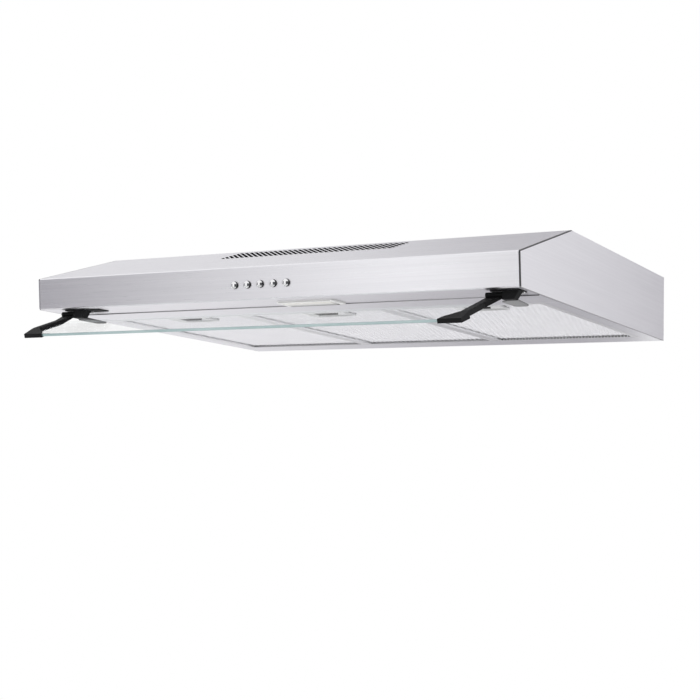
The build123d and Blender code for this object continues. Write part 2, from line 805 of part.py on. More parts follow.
# Grease filters, each with frame, mesh, latch pocket and sliding latch
z_mesh = z_floor + mesh_recess
z_tongue_top = z_latch + latch_thickness
tongue_slot_width = tongue_width + 2 * body_gap
tongue_slot_z = (z_latch - body_gap, z_tongue_top + body_gap)
filter_tags = ("left", "centre", "right")
for index, tag in enumerate(filter_tags):
    filter_x = (index - (filter_count - 1) / 2) * filter_pitch
    latch_x = filter_x + latch_offset
    tongue_x = latch_x + pocket_length / 2 - pocket_wall - body_gap - latch_plate_length / 2
    tongue_slot_x = (tongue_x - tongue_slot_width / 2, tongue_x + tongue_slot_width / 2)
    filter_centre = (filter_x, filter_y)

    with BuildPart() as filter_frame:
        with BuildSketch(Plane.XY.offset(z_floor)):
            with Locations(filter_centre):
                Rectangle(filter_width, filter_depth)
                Rectangle(filter_width - 2 * frame_lip, filter_depth - 2 * frame_lip, mode=Mode.SUBTRACT)
        extrude(amount=filter_thickness)
        with BuildSketch(Plane.XY.offset(z_mesh - mesh_fit)):
            with Locations(filter_centre):
                Rectangle(filter_width - 2 * frame_wall, filter_depth - 2 * frame_wall)
        extrude(amount=mesh_thickness + 2 * mesh_fit, mode=Mode.SUBTRACT)
        slab(
            tongue_slot_x,
            (filter_front, filter_front + frame_lip),
            tongue_slot_z,
            mode=Mode.SUBTRACT,
        )
        for tab_side in (-1, 1):
            tab_x = filter_x + tab_side * tab_spacing / 2
            slab(
                (tab_x - tab_width / 2, tab_x + tab_width / 2),
                (filter_rear - frame_wall, y_rail + tab_length),
                (z_sheet + body_gap, z_sheet + body_gap + tab_thickness),
            )
    save(filter_frame.part, f"filter_frame_{tag}")

    pocket_x_span = (latch_x - pocket_length / 2, latch_x + pocket_length / 2)
    pocket_y_span = (pocket_front, pocket_front + pocket_width)
    pocket_z_span = (z_floor, z_floor + filter_thickness)
    with BuildPart() as filter_mesh:
        with BuildSketch(Plane.XY.offset(z_mesh)):
            with Locations(filter_centre):
                Rectangle(
                    filter_width - 2 * (frame_wall + mesh_fit),
                    filter_depth - 2 * (frame_wall + mesh_fit),
                )
        extrude(amount=mesh_thickness)
        mesh_z_span = (z_mesh, z_mesh + mesh_thickness)
        slab(
            (pocket_x_span[0] - mesh_fit, pocket_x_span[1] + mesh_fit),
            (pocket_y_span[0] - mesh_fit, pocket_y_span[1] + mesh_fit),
            mesh_z_span,
            mode=Mode.SUBTRACT,
        )
        slab(tongue_slot_x, (filter_front, pocket_front), mesh_z_span, mode=Mode.SUBTRACT)
    save(filter_mesh.part, f"filter_mesh_{tag}")

    with BuildPart() as latch_pocket:
        slab(pocket_x_span, pocket_y_span, pocket_z_span)
        slab(
            (pocket_x_span[0] + pocket_wall, pocket_x_span[1] - pocket_wall),
            (pocket_y_span[0] + pocket_wall, pocket_y_span[1] - pocket_wall),
            (z_floor, pocket_z_span[1] - pocket_wall),
            mode=Mode.SUBTRACT,
        )
        with BuildSketch(Plane.XZ.offset(-pocket_y_span[0])):
            with BuildLine():
                Polyline(
                    (pocket_x_span[0] + pocket_wall, z_floor),
                    (pocket_x_span[0] + pocket_wall + pocket_ramp, pocket_z_span[1] - pocket_wall),
                    (pocket_x_span[0] + pocket_wall, pocket_z_span[1] - pocket_wall),
                    close=True,
                )
            make_face()
        extrude(amount=-pocket_width)
        slab(
            tongue_slot_x,
            (pocket_front, pocket_front + pocket_wall),
            tongue_slot_z,
            mode=Mode.SUBTRACT,
        )
    save(latch_pocket.part, f"latch_pocket_{tag}")

    plate_front = pocket_front + pocket_wall + body_gap
    plate_x_span = (tongue_x - latch_plate_length / 2, tongue_x + latch_plate_length / 2)
    plate_y_span = (plate_front, plate_front + latch_plate_width)
    with BuildPart() as filter_latch:
        slab(plate_x_span, plate_y_span, (z_latch, z_tongue_top))
        slab(
            (tongue_x - tongue_width / 2, tongue_x + tongue_width / 2),
            (filter_front - tongue_proud, plate_front),
            (z_latch, z_tongue_top),
        )
        slab(
            plate_x_span,
            (plate_y_span[1] - latch_rib, plate_y_span[1]),
            (z_latch - latch_rib_drop, z_latch),
        )
    save(filter_latch.part, f"filter_latch_{tag}")

# Hinge brackets: a plate under the front flange, a block that holds the pin and a tongue behind it
hinge_pin_reach = hinge_block_start + hinge_pin_grip
for tag, start in bracket_starts.items():
    with BuildPart() as hinge_bracket:
        slab(
            (start + hinge_plate_start, start + hinge_block_end + bracket_extras[tag]),
            (hinge_y - hinge_plate_front, hinge_y + hinge_plate_back),
            (z_hinge_seat, z_floor),
        )
        with BuildSketch(Plane.XZ.offset(hinge_block_front - hinge_y)):
            with BuildLine():
                Polyline(
                    (start + hinge_block_start, z_floor),
                    (start + hinge_block_end, z_floor),
                    (start + hinge_block_end - hinge_block_lean, z_block),
                    (start + hinge_block_start, z_block),
                    close=True,
                )
            make_face()
        extrude(amount=-(hinge_block_front + hinge_block_back))
        with BuildSketch(Plane.XY.offset(z_block)):
            with BuildLine():
                Polyline(
                    (start + hinge_block_start, hinge_y),
                    (start + hinge_block_end - hinge_block_lean, hinge_y),
                    (start + hinge_leg_inner + hinge_leg_width, hinge_y + hinge_leg_end),
                    (start + hinge_leg_inner, hinge_y + hinge_leg_end),
                    (start + hinge_leg_inner, hinge_y + 1.5 * hinge_leg_clear),
                    (start + hinge_block_start, hinge_y + hinge_leg_clear),
                    close=True,
                )
            make_face()
        extrude(amount=hinge_leg_thickness)
        leg_corners = edges().filter_by(Axis.Z).group_by(Axis.Y)[-1]
        fillet(leg_corners, radius=hinge_leg_round)
        with BuildSketch(Plane.YZ.offset(start)):
            with Locations((hinge_y, hinge_z)):
                Circle(hinge_pin_radius)
        extrude(amount=hinge_pin_reach, mode=Mode.SUBTRACT)
        drill(hinge_screw_places(start), screw_hole_radius, (z_hinge_seat, z_floor))
    save(hinge_bracket.part, f"hinge_bracket_{tag}")

    with BuildPart() as hinge_pin:
        with BuildSketch(Plane.YZ.offset(start)):
            with Locations((hinge_y, hinge_z)):
                Circle(hinge_pin_radius)
        extrude(amount=hinge_pin_reach)
    save(hinge_pin.part, f"hinge_pin_{tag}")

# Visor arms: a knuckle on the pin, a bar beside the glass and a shoe round its front corner
shoe_tip = (glass_half - shoe_tip_grip, -visor_reach)
shoe_mid = (glass_half - shoe_mid_grip, -visor_reach + 0.4 * shoe_length)
shoe_waist = (glass_half - shoe_waist_grip, -visor_reach + 0.55 * shoe_length)
bar_outline = [
    (knuckle_inner, -arm_root),
    (knuckle_outer, -arm_root),
    (knuckle_outer, -2 * arm_root),
    (arm_outer, -arm_taper),
    (arm_outer, -shoe_back),
    (shoe_outer, -visor_reach),
    shoe_tip,
    shoe_mid,
    shoe_waist,
    (knuckle_inner, -shoe_back),
]
shoe_outline = [
    shoe_tip,
    (shoe_outer, -visor_reach),
    (arm_outer, -shoe_back),
    (shoe_mid[0], -shoe_back),
]
for side, tag in ((-1, "left"), (1, "right")):
    with BuildPart() as visor_arm:
        with BuildSketch(visor_plane.offset(arm_bottom)):
            with BuildLine():
                Polyline(*[(side * u, v) for u, v in bar_outline], close=True)
            make_face()
        extrude(amount=arm_thickness)
        top_edges = faces().sort_by(Axis(visor_plane.origin, visor_plane.z_dir))[-1].edges()
        chamfer(top_edges, length=arm_chamfer)
        with BuildSketch(visor_plane.offset(shoe_bottom)):
            with BuildLine():
                Polyline(*[(side * u, v) for u, v in shoe_outline], close=True)
            make_face()
        extrude(amount=arm_bottom - shoe_bottom)
        with BuildSketch(side_plane):
            with BuildLine():
                Polyline(
                    (-visor_reach, glass_top + shoe_skin),
                    (-shoe_back, arm_top),
                    (-visor_reach, arm_top),
                    close=True,
                )
            make_face()
            with BuildLine():
                Polyline(
                    (-arm_taper, arm_bottom),
                    (0, -knuckle_radius),
                    (0, arm_bottom),
                    close=True,
                )
            make_face()
        extrude(amount=hood_width / 2, both=True, mode=Mode.SUBTRACT)
        with BuildSketch(visor_plane.offset(glass_bottom)):
            with Locations((0, -(glass_front + glass_rear) / 2)):
                Rectangle(2 * (glass_half + body_gap), glass_front - glass_rear)
        extrude(amount=glass_thickness, mode=Mode.SUBTRACT)
        with BuildSketch(Plane.YZ.offset(side * knuckle_inner)):
            with Locations((hinge_y, hinge_z)):
                Circle(knuckle_radius)
        extrude(amount=side * knuckle_length)
        with BuildSketch(Plane.YZ.offset(side * knuckle_inner)):
            with Locations((hinge_y, hinge_z)):
                Circle(hinge_pin_radius + pin_clearance)
        extrude(amount=side * knuckle_length, mode=Mode.SUBTRACT)
    save(visor_arm.part, f"visor_arm_{tag}")

# Visor glass between the two shoes
with BuildPart() as visor_glass:
    with BuildSketch(visor_plane.offset(glass_bottom)):
        with Locations((0, -(glass_front + glass_rear) / 2)):
            Rectangle(2 * glass_half, glass_front - glass_rear)
    extrude(amount=glass_thickness)
save(visor_glass.part, "visor_glass")

# Screws of the hinge brackets, the motor bracket and the outlet collar
with BuildPart() as hinge_screws:
    screw(hinge_screws_at, z_hinge_seat, hinge_plate_thickness + 6 * sheet, 1)
save(hinge_screws.part, "hinge_screws")

with BuildPart() as motor_screws:
    screw(motor_screws_at, z_bracket, bracket_thickness + housing_wall + sheet, 1)
save(motor_screws.part, "motor_screws")

with BuildPart() as collar_screws:
    screw(collar_screws_at, collar_flange_thickness, collar_flange_thickness - z_lid + sheet, -1)
save(collar_screws.part, "collar_screws")
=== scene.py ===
"""Looks of an under-cabinet range hood with a tilting glass visor.

The CAD nodes hold the folded steel, the mouldings and all that moves. This file gives every node
its finish, and builds the pieces whose form is finer than the solids: the woven filter mesh, the
glass pane with its ground edge, the domed buttons and the screws with their driving recess.
"""

from __future__ import annotations

import json
import logging
import math
from dataclasses import dataclass, replace
from enum import Enum
from functools import cache

import bpy
import numpy as np
from mathutils import Matrix, Vector

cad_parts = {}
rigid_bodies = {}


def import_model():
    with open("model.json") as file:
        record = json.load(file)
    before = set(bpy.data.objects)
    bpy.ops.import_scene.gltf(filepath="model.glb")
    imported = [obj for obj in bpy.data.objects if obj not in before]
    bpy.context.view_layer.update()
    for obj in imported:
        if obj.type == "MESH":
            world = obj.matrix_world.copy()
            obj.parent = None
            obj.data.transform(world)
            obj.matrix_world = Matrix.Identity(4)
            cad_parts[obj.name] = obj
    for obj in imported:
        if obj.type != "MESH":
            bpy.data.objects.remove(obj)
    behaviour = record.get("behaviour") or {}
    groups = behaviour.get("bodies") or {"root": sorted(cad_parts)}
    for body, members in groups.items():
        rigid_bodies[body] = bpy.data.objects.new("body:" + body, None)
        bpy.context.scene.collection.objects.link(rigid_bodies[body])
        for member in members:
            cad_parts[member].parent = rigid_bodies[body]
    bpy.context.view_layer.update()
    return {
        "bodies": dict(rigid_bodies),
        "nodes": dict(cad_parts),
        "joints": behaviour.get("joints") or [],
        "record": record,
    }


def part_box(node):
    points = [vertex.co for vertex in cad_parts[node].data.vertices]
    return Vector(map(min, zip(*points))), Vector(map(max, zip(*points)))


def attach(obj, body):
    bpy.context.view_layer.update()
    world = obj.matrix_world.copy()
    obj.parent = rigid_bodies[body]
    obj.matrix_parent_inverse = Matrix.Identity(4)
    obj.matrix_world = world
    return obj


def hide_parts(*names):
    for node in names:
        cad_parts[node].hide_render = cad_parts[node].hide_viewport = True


LOG = logging.getLogger("range_hood")
MM = 0.001
FULL_TURN = 2 * math.pi
QUARTER_TURN = math.pi / 2
FILTER_TAGS = ("left", "centre", "right")
BUTTON_NUMBERS = range(1, 6)

Triple = tuple[float, float, float]
Colour = Triple
Tones = tuple[Colour, Colour]
HalfSpace = tuple[Triple, float]
Box = tuple[np.ndarray, np.ndarray]
Socket = bpy.types.NodeSocket
Feed = float | tuple[float, ...] | Socket


class Pattern(Enum):
    """The shader group that varies a finish over the surface."""

    BRUSHED = "brushed_lines"
    MOULDED = "moulded_grain"
    SPANGLED = "zinc_spangle"


class Mask(Enum):
    """The shader group that picks out a part of a surface."""

    BEYOND = "beyond_plane"
    DASHES = "row_of_dashes"


class Ramp(Enum):
    """How a range of values is carried to another."""

    LINEAR = "LINEAR"
    SMOOTH = "SMOOTHSTEP"


class Kind(Enum):
    """What a group's socket carries."""

    VECTOR = "NodeSocketVector"
    COLOUR = "NodeSocketColor"
    VALUE = "NodeSocketFloat"


def opaque(colour: Colour) -> tuple[float, ...]:
    """The colour with full alpha."""
    return (*colour, 1.0)


class NodeCanvas:
    """Adds nodes to one node tree and links them."""

    COLOUR_A, COLOUR_B, COLOUR_RESULT = 6, 7, 2

    def __init__(self, tree: bpy.types.NodeTree) -> None:
        """Start with an empty tree.

        Args:
            tree: the tree to draw in; its nodes are cleared.
        """
        self.tree = tree
        tree.nodes.clear()

    def add(self, kind: str, settings: dict | None = None, **inputs: Feed) -> bpy.types.Node:
        """Place one node.

        Args:
            kind: the node's Blender type.
            settings: attributes of the node, such as its data type.
            inputs: constants or output sockets, by input name with _ for a space.

        Returns:
            The new node.
        """
        node = self.tree.nodes.new(kind)
        for name, value in (settings or {}).items():
            setattr(node, name, value)
        for name, value in inputs.items():
            self.feed(node.inputs[name.replace("_", " ")], value)
        return node

    def feed(self, socket: Socket, value: Feed) -> None:
        """Set a socket to a constant, or link it to another node's output.

        Args:
            socket: the input to feed.
            value: the constant, or the output to link.
        """
        if isinstance(value, Socket):
            self.tree.links.new(value, socket)
        else:
            socket.default_value = value

    def place(self) -> Socket:
        """The Object coordinates."""
        return self.add("ShaderNodeTexCoord").outputs["Object"]

    def operate(self, kind: str, operation: str, *operands: Feed) -> bpy.types.NodeOutputs:
        """Place a node that works on operands.

        Args:
            kind: the node's Blender type.
            operation: its operation.
            operands: constants or sockets, in the order of the node's inputs.

        Returns:
            The node's outputs.
        """
        node = self.add(kind, {"operation": operation})
        for socket, operand in zip(node.inputs, operands):
            self.feed(socket, operand)
        return node.outputs

    def math(self, operation: str, *operands: Feed) -> Socket:
        """The result of an operation on numbers."""
        return self.operate("ShaderNodeMath", operation, *operands)[0]

    def vector(self, operation: str, *operands: Feed) -> bpy.types.NodeOutputs:
        """The Vector and the Value of an operation on vectors."""
        return self.operate("ShaderNodeVectorMath", operation, *operands)

    def ramp(
        self, value: Socket, start: float, end: float, low: Feed = 0.0, high: Feed = 1.0,
        kind: Ramp = Ramp.LINEAR,
    ) -> Socket:
        """Carry a range of values to another; what lies outside stays at the nearer end.

        Args:
            value: the value to carry.
            start, end: the range that it is in.
            low, high: the results at the range's ends.
            kind: straight or eased.

        Returns:
            The result.
        """
        node = self.add(
            "ShaderNodeMapRange", {"interpolation_type": kind.value},
            Value=value, From_Min=start, From_Max=end, To_Min=low, To_Max=high,
        )
        return node.outputs["Result"]

    def mix(self, factor: Feed, first: Feed, second: Feed) -> Socket:
        """Mix two colours.

        Args:
            factor: the second colour's share.
            first, second: the colours.

        Returns:
            The mixed colour.
        """
        node = self.add("ShaderNodeMix", {"data_type": "RGBA"}, Factor=factor)
        self.feed(node.inputs[self.COLOUR_A], first)
        self.feed(node.inputs[self.COLOUR_B], second)
        return node.outputs[self.COLOUR_RESULT]


Masks = tuple[Socket, Socket, Socket]


def blank_material(name: str) -> tuple[bpy.types.Material, NodeCanvas]:
    """Make a material with an empty tree.

    Args:
        name: the material's name.

    Returns:
        The material and the canvas of its tree.
    """
    made = bpy.data.materials.new(name)
    made.use_nodes = True
    return made, NodeCanvas(made.node_tree)


class Group(NodeCanvas):
    """A shader group that finishes share; each kind draws its own nodes."""

    KEY: Pattern | Mask
    INPUTS: dict[str, Kind]
    OUTPUTS = {"Mask": Kind.VALUE}

    def __init__(self) -> None:
        """Make the group's sockets, and draw what lies between them."""
        super().__init__(bpy.data.node_groups.new(self.KEY.value, "ShaderNodeTree"))
        for in_out, sockets in (("INPUT", self.INPUTS), ("OUTPUT", self.OUTPUTS)):
            for name, kind in sockets.items():
                self.tree.interface.new_socket(name=name, in_out=in_out, socket_type=kind.value)
        self.given = self.add("NodeGroupInput").outputs
        self.results = self.add("NodeGroupOutput").inputs
        self.draw()

    def draw(self) -> None:
        """Draw the nodes between what is given and the results."""
        raise NotImplementedError


class BeyondPlane(Group):
    """Masks what lies beyond a plane.

    The mask rises smoothly from 0 to 1 over Width, where the dot product of (x, y, z) and
    Direction passes Place. Fold is 1 to take |x| for x, so that left and right are the same.
    """

    KEY = Mask.BEYOND
    INPUTS = {
        "Vector": Kind.VECTOR, "Direction": Kind.VECTOR, "Place": Kind.VALUE, "Width": Kind.VALUE,
        "Fold": Kind.VALUE,
    }

    def draw(self) -> None:
        """Fold x, measure along the direction and ease the mask over the width."""
        given = self.given
        place = self.add("ShaderNodeSeparateXYZ", Vector=given["Vector"]).outputs
        turned_over = self.math("SUBTRACT", self.math("ABSOLUTE", place["X"]), place["X"])
        across = self.math("ADD", place["X"], self.math("MULTIPLY", turned_over, given["Fold"]))
        moved = self.add("ShaderNodeCombineXYZ", X=across, Y=place["Y"], Z=place["Z"]).outputs[0]
        reach = self.vector("DOT_PRODUCT", moved, given["Direction"])["Value"]
        share = self.math("DIVIDE", self.math("SUBTRACT", reach, given["Place"]), given["Width"])
        self.feed(self.results["Mask"], self.ramp(share, 0.0, 1.0, kind=Ramp.SMOOTH))


class RowOfDashes(Group):
    """Masks a row of dashes along x, from a sine of the given pitch."""

    KEY = Mask.DASHES
    INPUTS = {"Vector": Kind.VECTOR, "Pitch": Kind.VALUE}
    RANGE = (0.35, 0.75)

    def draw(self) -> None:
        """Ease the mask over a part of the sine's range."""
        place = self.add("ShaderNodeSeparateXYZ", Vector=self.given["Vector"]).outputs
        turns = self.math("DIVIDE", place["X"], self.given["Pitch"])
        wave = self.math("SINE", self.math("MULTIPLY", turns, FULL_TURN))
        self.feed(self.results["Mask"], self.ramp(wave, *self.RANGE, kind=Ramp.SMOOTH))


class PatternGroup(Group):
    """Varies tone and roughness by a mask each, and puts out a height."""

    INPUTS = {
        "Vector": Kind.VECTOR, "Dark": Kind.COLOUR, "Light": Kind.COLOUR, "Smooth": Kind.VALUE,
        "Rough": Kind.VALUE,
    }
    OUTPUTS = {"Colour": Kind.COLOUR, "Roughness": Kind.VALUE, "Height": Kind.VALUE}
    NOISE_RANGE = (0.3, 0.7)

    def draw(self) -> None:
        """Mix the tones and the roughnesses by the pattern's masks."""
        given, results = self.given, self.results
        tone, wear, height = self.masks()
        self.feed(results["Colour"], self.mix(tone, given["Dark"], given["Light"]))
        roughness = self.ramp(wear, 0.0, 1.0, given["Smooth"], given["Rough"])
        self.feed(results["Roughness"], roughness)
        self.feed(results["Height"], height)

    def masks(self) -> Masks:
        """The masks for tone and roughness, and the height."""
        raise NotImplementedError

    def noise(self, scale: float, detail: float = 2.0) -> Socket:
        """Noise on the given vector, stretched to run from 0 to 1.

        Args:
            scale: cells per unit of the vector.
            detail: octaves.

        Returns:
            The noise value.
        """
        vector = self.given["Vector"]
        noise = self.add("ShaderNodeTexNoise", Vector=vector, Scale=scale, Detail=detail)
        return self.ramp(noise.outputs[0], *self.NOISE_RANGE)

    def blend(self, share: float, first: Socket, second: Socket) -> Socket:
        """The given share of one value and the rest of another."""
        rest = self.math("MULTIPLY", second, 1.0 - share)
        return self.math("ADD", self.math("MULTIPLY", first, share), rest)


class BrushedLines(PatternGroup):
    """Long scratches: a broad and a fine noise on coordinates stretched along them."""

    KEY = Pattern.BRUSHED
    BROAD_DETAIL = 3.0
    BROAD_SHARE = 0.55
    FINE_SCALE = 5.3

    def masks(self) -> Masks:
        """Both noises as tone, and the fine one as roughness and height."""
        broad, fine = self.noise(1.0, self.BROAD_DETAIL), self.noise(self.FINE_SCALE)
        return self.blend(self.BROAD_SHARE, broad, fine), fine, fine


class MouldedGrain(PatternGroup):
    """The fine pimples of a mould's texture under slow changes of tone."""

    KEY = Pattern.MOULDED
    SLOW_SCALE = 0.03
    SLOW_SHARE = 0.7

    def masks(self) -> Masks:
        """Draw a slow and a fine noise.

        Returns:
            Both as tone and roughness, and the fine one as height.
        """
        slow, fine = self.noise(self.SLOW_SCALE), self.noise(1.0)
        tone = self.blend(self.SLOW_SHARE, slow, fine)
        return tone, tone, fine


class ZincSpangle(PatternGroup):
    """Zinc crystals: cells of one tone each, with a little grain."""

    KEY = Pattern.SPANGLED
    GRAIN_SCALE = 6.0

    def masks(self) -> Masks:
        """Draw the cells and the grain.

        Returns:
            The cells as tone and roughness, and the grain as height.
        """
        vector = self.given["Vector"]
        cells = self.add("ShaderNodeTexVoronoi", Vector=vector, Scale=1.0).outputs["Color"]
        tone = self.add("ShaderNodeSeparateColor", Color=cells).outputs[0]
        return tone, tone, self.noise(self.GRAIN_SCALE)


class PatternLibrary:
    """The shared shader groups, each built once."""

    KINDS = (BeyondPlane, RowOfDashes, BrushedLines, MouldedGrain, ZincSpangle)

    def __init__(self) -> None:
        """Build every group."""
        self.trees = {kind.KEY: kind().tree for kind in self.KINDS}


# Shades paint shade and light into a surface's colour; every shade below is painted shade or
# painted light.
@dataclass(frozen=True)
class Shade:
    """A part of a surface in another tone: what lies beyond all of some planes.

    With a pitch it is drawn as a row of dashes, and folded it is the same left and right.
    """

    tone: Colour
    planes: tuple[HalfSpace, ...]
    width: float = 0.3 * MM
    pitch: float = 0.0
    folded: bool = True

    def mask(self, canvas: NodeCanvas, library: PatternLibrary, place: Socket) -> Socket:
        """Multiply the masks of the planes, and of the dashes.

        Args:
            canvas: the material's canvas.
            library: the shared shader groups.
            place: the coordinates.

        Returns:
            The mask's socket.
        """
        beyond = {"node_tree": library.trees[Mask.BEYOND]}
        shared = {"Vector": place, "Width": self.width, "Fold": float(self.folded)}
        nodes = [
            canvas.add("ShaderNodeGroup", beyond, Direction=direction, Place=distance, **shared)
            for direction, distance in self.planes
        ]
        if self.pitch:
            dashes = {"node_tree": library.trees[Mask.DASHES]}
            nodes.append(canvas.add("ShaderNodeGroup", dashes, Vector=place, Pitch=self.pitch))
        product = nodes[0].outputs["Mask"]
        for node in nodes[1:]:
            product = canvas.math("MULTIPLY", product, node.outputs["Mask"])
        return product


# Cells per metre along x, y and z: an even grain, and brushing along x or along y.
GRAIN = (1600.0, 1600.0, 1600.0)
LINES_ACROSS = (3.0, 520.0, 520.0)
LINES_BACK = (520.0, 3.0, 520.0)
BUMP_DEPTH = 0.1 * MM


@dataclass(frozen=True)
class Finish:
    """One surface finish: a pattern between two tones and two roughnesses, plus constants."""

    name: str
    slot: str
    tones: Tones
    roughness: tuple[float, float]
    pattern: Pattern = Pattern.MOULDED
    scale: Triple = GRAIN
    bump: float = 0.0
    metallic: float = 0.0
    constants: tuple[tuple[str, float], ...] = ()
    plain_colour: Colour | None = None
    shades: tuple[Shade, ...] = ()

    @cache
    def material(self, library: PatternLibrary) -> bpy.types.Material:
        """Build the finish's material, once.

        Args:
            library: the shared shader groups.

        Returns:
            The material, which reads Object coordinates.
        """
        made, canvas = blank_material(self.name)
        place = canvas.place()
        dark, light = self.tones
        smooth, rough = self.roughness
        group = canvas.add(
            "ShaderNodeGroup", {"node_tree": library.trees[self.pattern]},
            Vector=canvas.add("ShaderNodeMapping", Vector=place, Scale=self.scale).outputs[0],
            Dark=opaque(dark), Light=opaque(light), Smooth=smooth, Rough=rough,
        ).outputs
        colour = opaque(self.plain_colour) if self.plain_colour else group["Colour"]
        # Paint each shade's tone over the colour: painted shade and painted light, not lit by the
        # lamps.
        for shade in self.shades:
            colour = canvas.mix(shade.mask(canvas, library, place), colour, opaque(shade.tone))
        shader = canvas.add(
            "ShaderNodeBsdfPrincipled",
            Base_Color=colour, Roughness=group["Roughness"], Metallic=self.metallic,
        )
        for socket, value in self.constants:
            shader.inputs[socket].default_value = value
        if self.bump:
            bump = canvas.add(
                "ShaderNodeBump",
                Strength=self.bump, Distance=BUMP_DEPTH, Height=group["Height"],
            )
            canvas.feed(shader.inputs["Normal"], bump.outputs[0])
        canvas.add("ShaderNodeOutputMaterial", Surface=shader.outputs[0])
        return made


# Directions: x runs to the right, y to the wall behind and z up.
FORWARD, BACKWARD = (0.0, -1.0, 0.0), (0.0, 1.0, 0.0)
UPWARD, DOWNWARD = (0.0, 0.0, 1.0), (0.0, 0.0, -1.0)
OUTWARD, INWARD = (1.0, 0.0, 0.0), (-1.0, 0.0, 0.0)
SLOPE_OUT, SLOPE_IN = (0.0, -0.301, 0.9537), (0.0, 0.301, -0.9537)
FASCIA_OUT, FASCIA_IN = (0.0, -0.9937, -0.112), (0.0, 0.9937, 0.112)

# Distances from the origin: faces along their own direction, the rest along an axis.
SLOPE_FACE = 50.87 * MM
FASCIA_FACE = 313.03 * MM
FLOOR_FACE = 80.0 * MM
GRILLE_FRONT, GRILLE_REAR = 240.0 * MM, 171.5 * MM
END_INSIDE = 298.5 * MM
LAP_EDGE = 253.2 * MM
TONGUE_TOP, TONGUE_FRONT = 87.9 * MM, 285.5 * MM
BEZEL_TOP, BEZEL_FRONT, BEZEL_REAR = 80.9 * MM, 287.2 * MM, 258.8 * MM
LENS_FADE, LENS_REAR = 277.0 * MM, 267.0 * MM
LIP_FRONT, LIP_REAR, LIP_SPLIT = 117.9 * MM, 118.8 * MM, 95.0 * MM

# Depths under a face, heights over it and widths of soft borders.
SLOT_TOP, SLOT_FOOT = 0.15 * MM, 0.95 * MM
END_FRONT_DEPTH, END_SLOPE_DEPTH, END_FOOT_DEPTH = 1.6 * MM, 1.4 * MM, 0.8 * MM
SKIRT_HEIGHT = 2.3 * MM
SLOT_BORDER, SHARP_BORDER, LENS_BORDER, POCKET_BORDER = 0.05 * MM, 0.1 * MM, 6.0 * MM, 1.0 * MM
DASH_PITCH = 4.2 * MM

WHITE = (1.0, 1.0, 1.0)
STEEL_TONES = ((0.815, 0.808, 0.842), (0.885, 0.879, 0.91))
EDGE_SHADE_TONE = (0.08, 0.078, 0.082)
POCKET_SHADE_TONE = (0.05, 0.05, 0.052)

# Painted shade on the walls of the grille's slots in the slope, standing in for the dark inside of
# the hood.
SLOT_WALL_SHADE = Shade(
    (0.2, 0.2, 0.203),
    (
        (SLOPE_IN, SLOT_TOP - SLOPE_FACE),
        (SLOPE_OUT, SLOPE_FACE - SLOT_FOOT),
        (BACKWARD, -GRILLE_FRONT),
        (FORWARD, GRILLE_REAR),
    ),
    SLOT_BORDER,
)
# Painted shade along the end panels' edges: a dark shadow gap at the right panel's front edge and
# along the slope edges, and a grey line at the foot.
END_FRONT_EDGE_SHADE = Shade(
    EDGE_SHADE_TONE, ((FASCIA_OUT, FASCIA_FACE - END_FRONT_DEPTH), (OUTWARD, 0.0)), folded=False
)
END_SLOPE_EDGE_SHADE = Shade(EDGE_SHADE_TONE, ((SLOPE_OUT, SLOPE_FACE - END_SLOPE_DEPTH),))
END_FOOT_SHADE = Shade(
    (0.48, 0.475, 0.49), ((DOWNWARD, FLOOR_FACE - END_FOOT_DEPTH), (OUTWARD, END_INSIDE))
)
# Painted shade on the front face of the lamp panel's lapped edge.
LAPPED_EDGE_SHADE = Shade((0.4, 0.396, 0.408), ((FORWARD, LAP_EDGE),), SHARP_BORDER)
# Painted reflection on the hinge brackets' black tongues: a dark grey on the left one and a lighter
# grey on the right one, as each catches the light.
TONGUE = ((DOWNWARD, TONGUE_TOP), (BACKWARD, -TONGUE_FRONT))
BRACKET_TONGUE_PAINTED_SHEEN = (
    Shade((0.09, 0.09, 0.093), (*TONGUE, (INWARD, 0.0)), folded=False),
    Shade((0.27, 0.27, 0.275), (*TONGUE, (OUTWARD, 0.0)), folded=False),
)
# Painted dark reflection: the chrome around each button's lower wall is near black.
BUTTON_SKIRT_DARK_REFLECTION = Shade((0.03, 0.03, 0.032), ((FASCIA_IN, -FASCIA_FACE - SKIRT_HEIGHT),))
# Painted shade on the lamp bezel: mid grey along its lower front edge and a dark strip along its
# rear.
BEZEL_EDGE_SHADE = (
    Shade((0.42, 0.418, 0.41), ((FORWARD, BEZEL_FRONT), (DOWNWARD, BEZEL_TOP))),
    Shade((0.06, 0.06, 0.058), ((BACKWARD, -BEZEL_REAR), (DOWNWARD, BEZEL_TOP))),
)
# Painted shade on the lamp lens: it fades to mid grey towards the rear and is dark along its rear
# edge.
LENS_PAINTED_SHADE = (
    Shade((0.5, 0.498, 0.49), ((BACKWARD, -LENS_FADE),), LENS_BORDER),
    Shade((0.1, 0.1, 0.098), ((BACKWARD, -LENS_REAR),)),
)
# Painted shade on the inner wall of each filter frame's rear lip, where the mesh shades it: grey on
# the left and centre filters, darker on the right one, with lighter dashes.
LIP = ((BACKWARD, LIP_FRONT), (FORWARD, -LIP_REAR))
LIP_LEFT, LIP_RIGHT = (*LIP, (INWARD, -LIP_SPLIT)), (*LIP, (OUTWARD, LIP_SPLIT))
FRAME_REAR_LIP_SHADE = (
    Shade((0.42, 0.418, 0.43), LIP_LEFT, SHARP_BORDER, folded=False),
    Shade((0.2, 0.2, 0.205), LIP_RIGHT, SHARP_BORDER, folded=False),
    Shade((0.7, 0.7, 0.71), LIP_RIGHT, SHARP_BORDER, DASH_PITCH, folded=False),
)

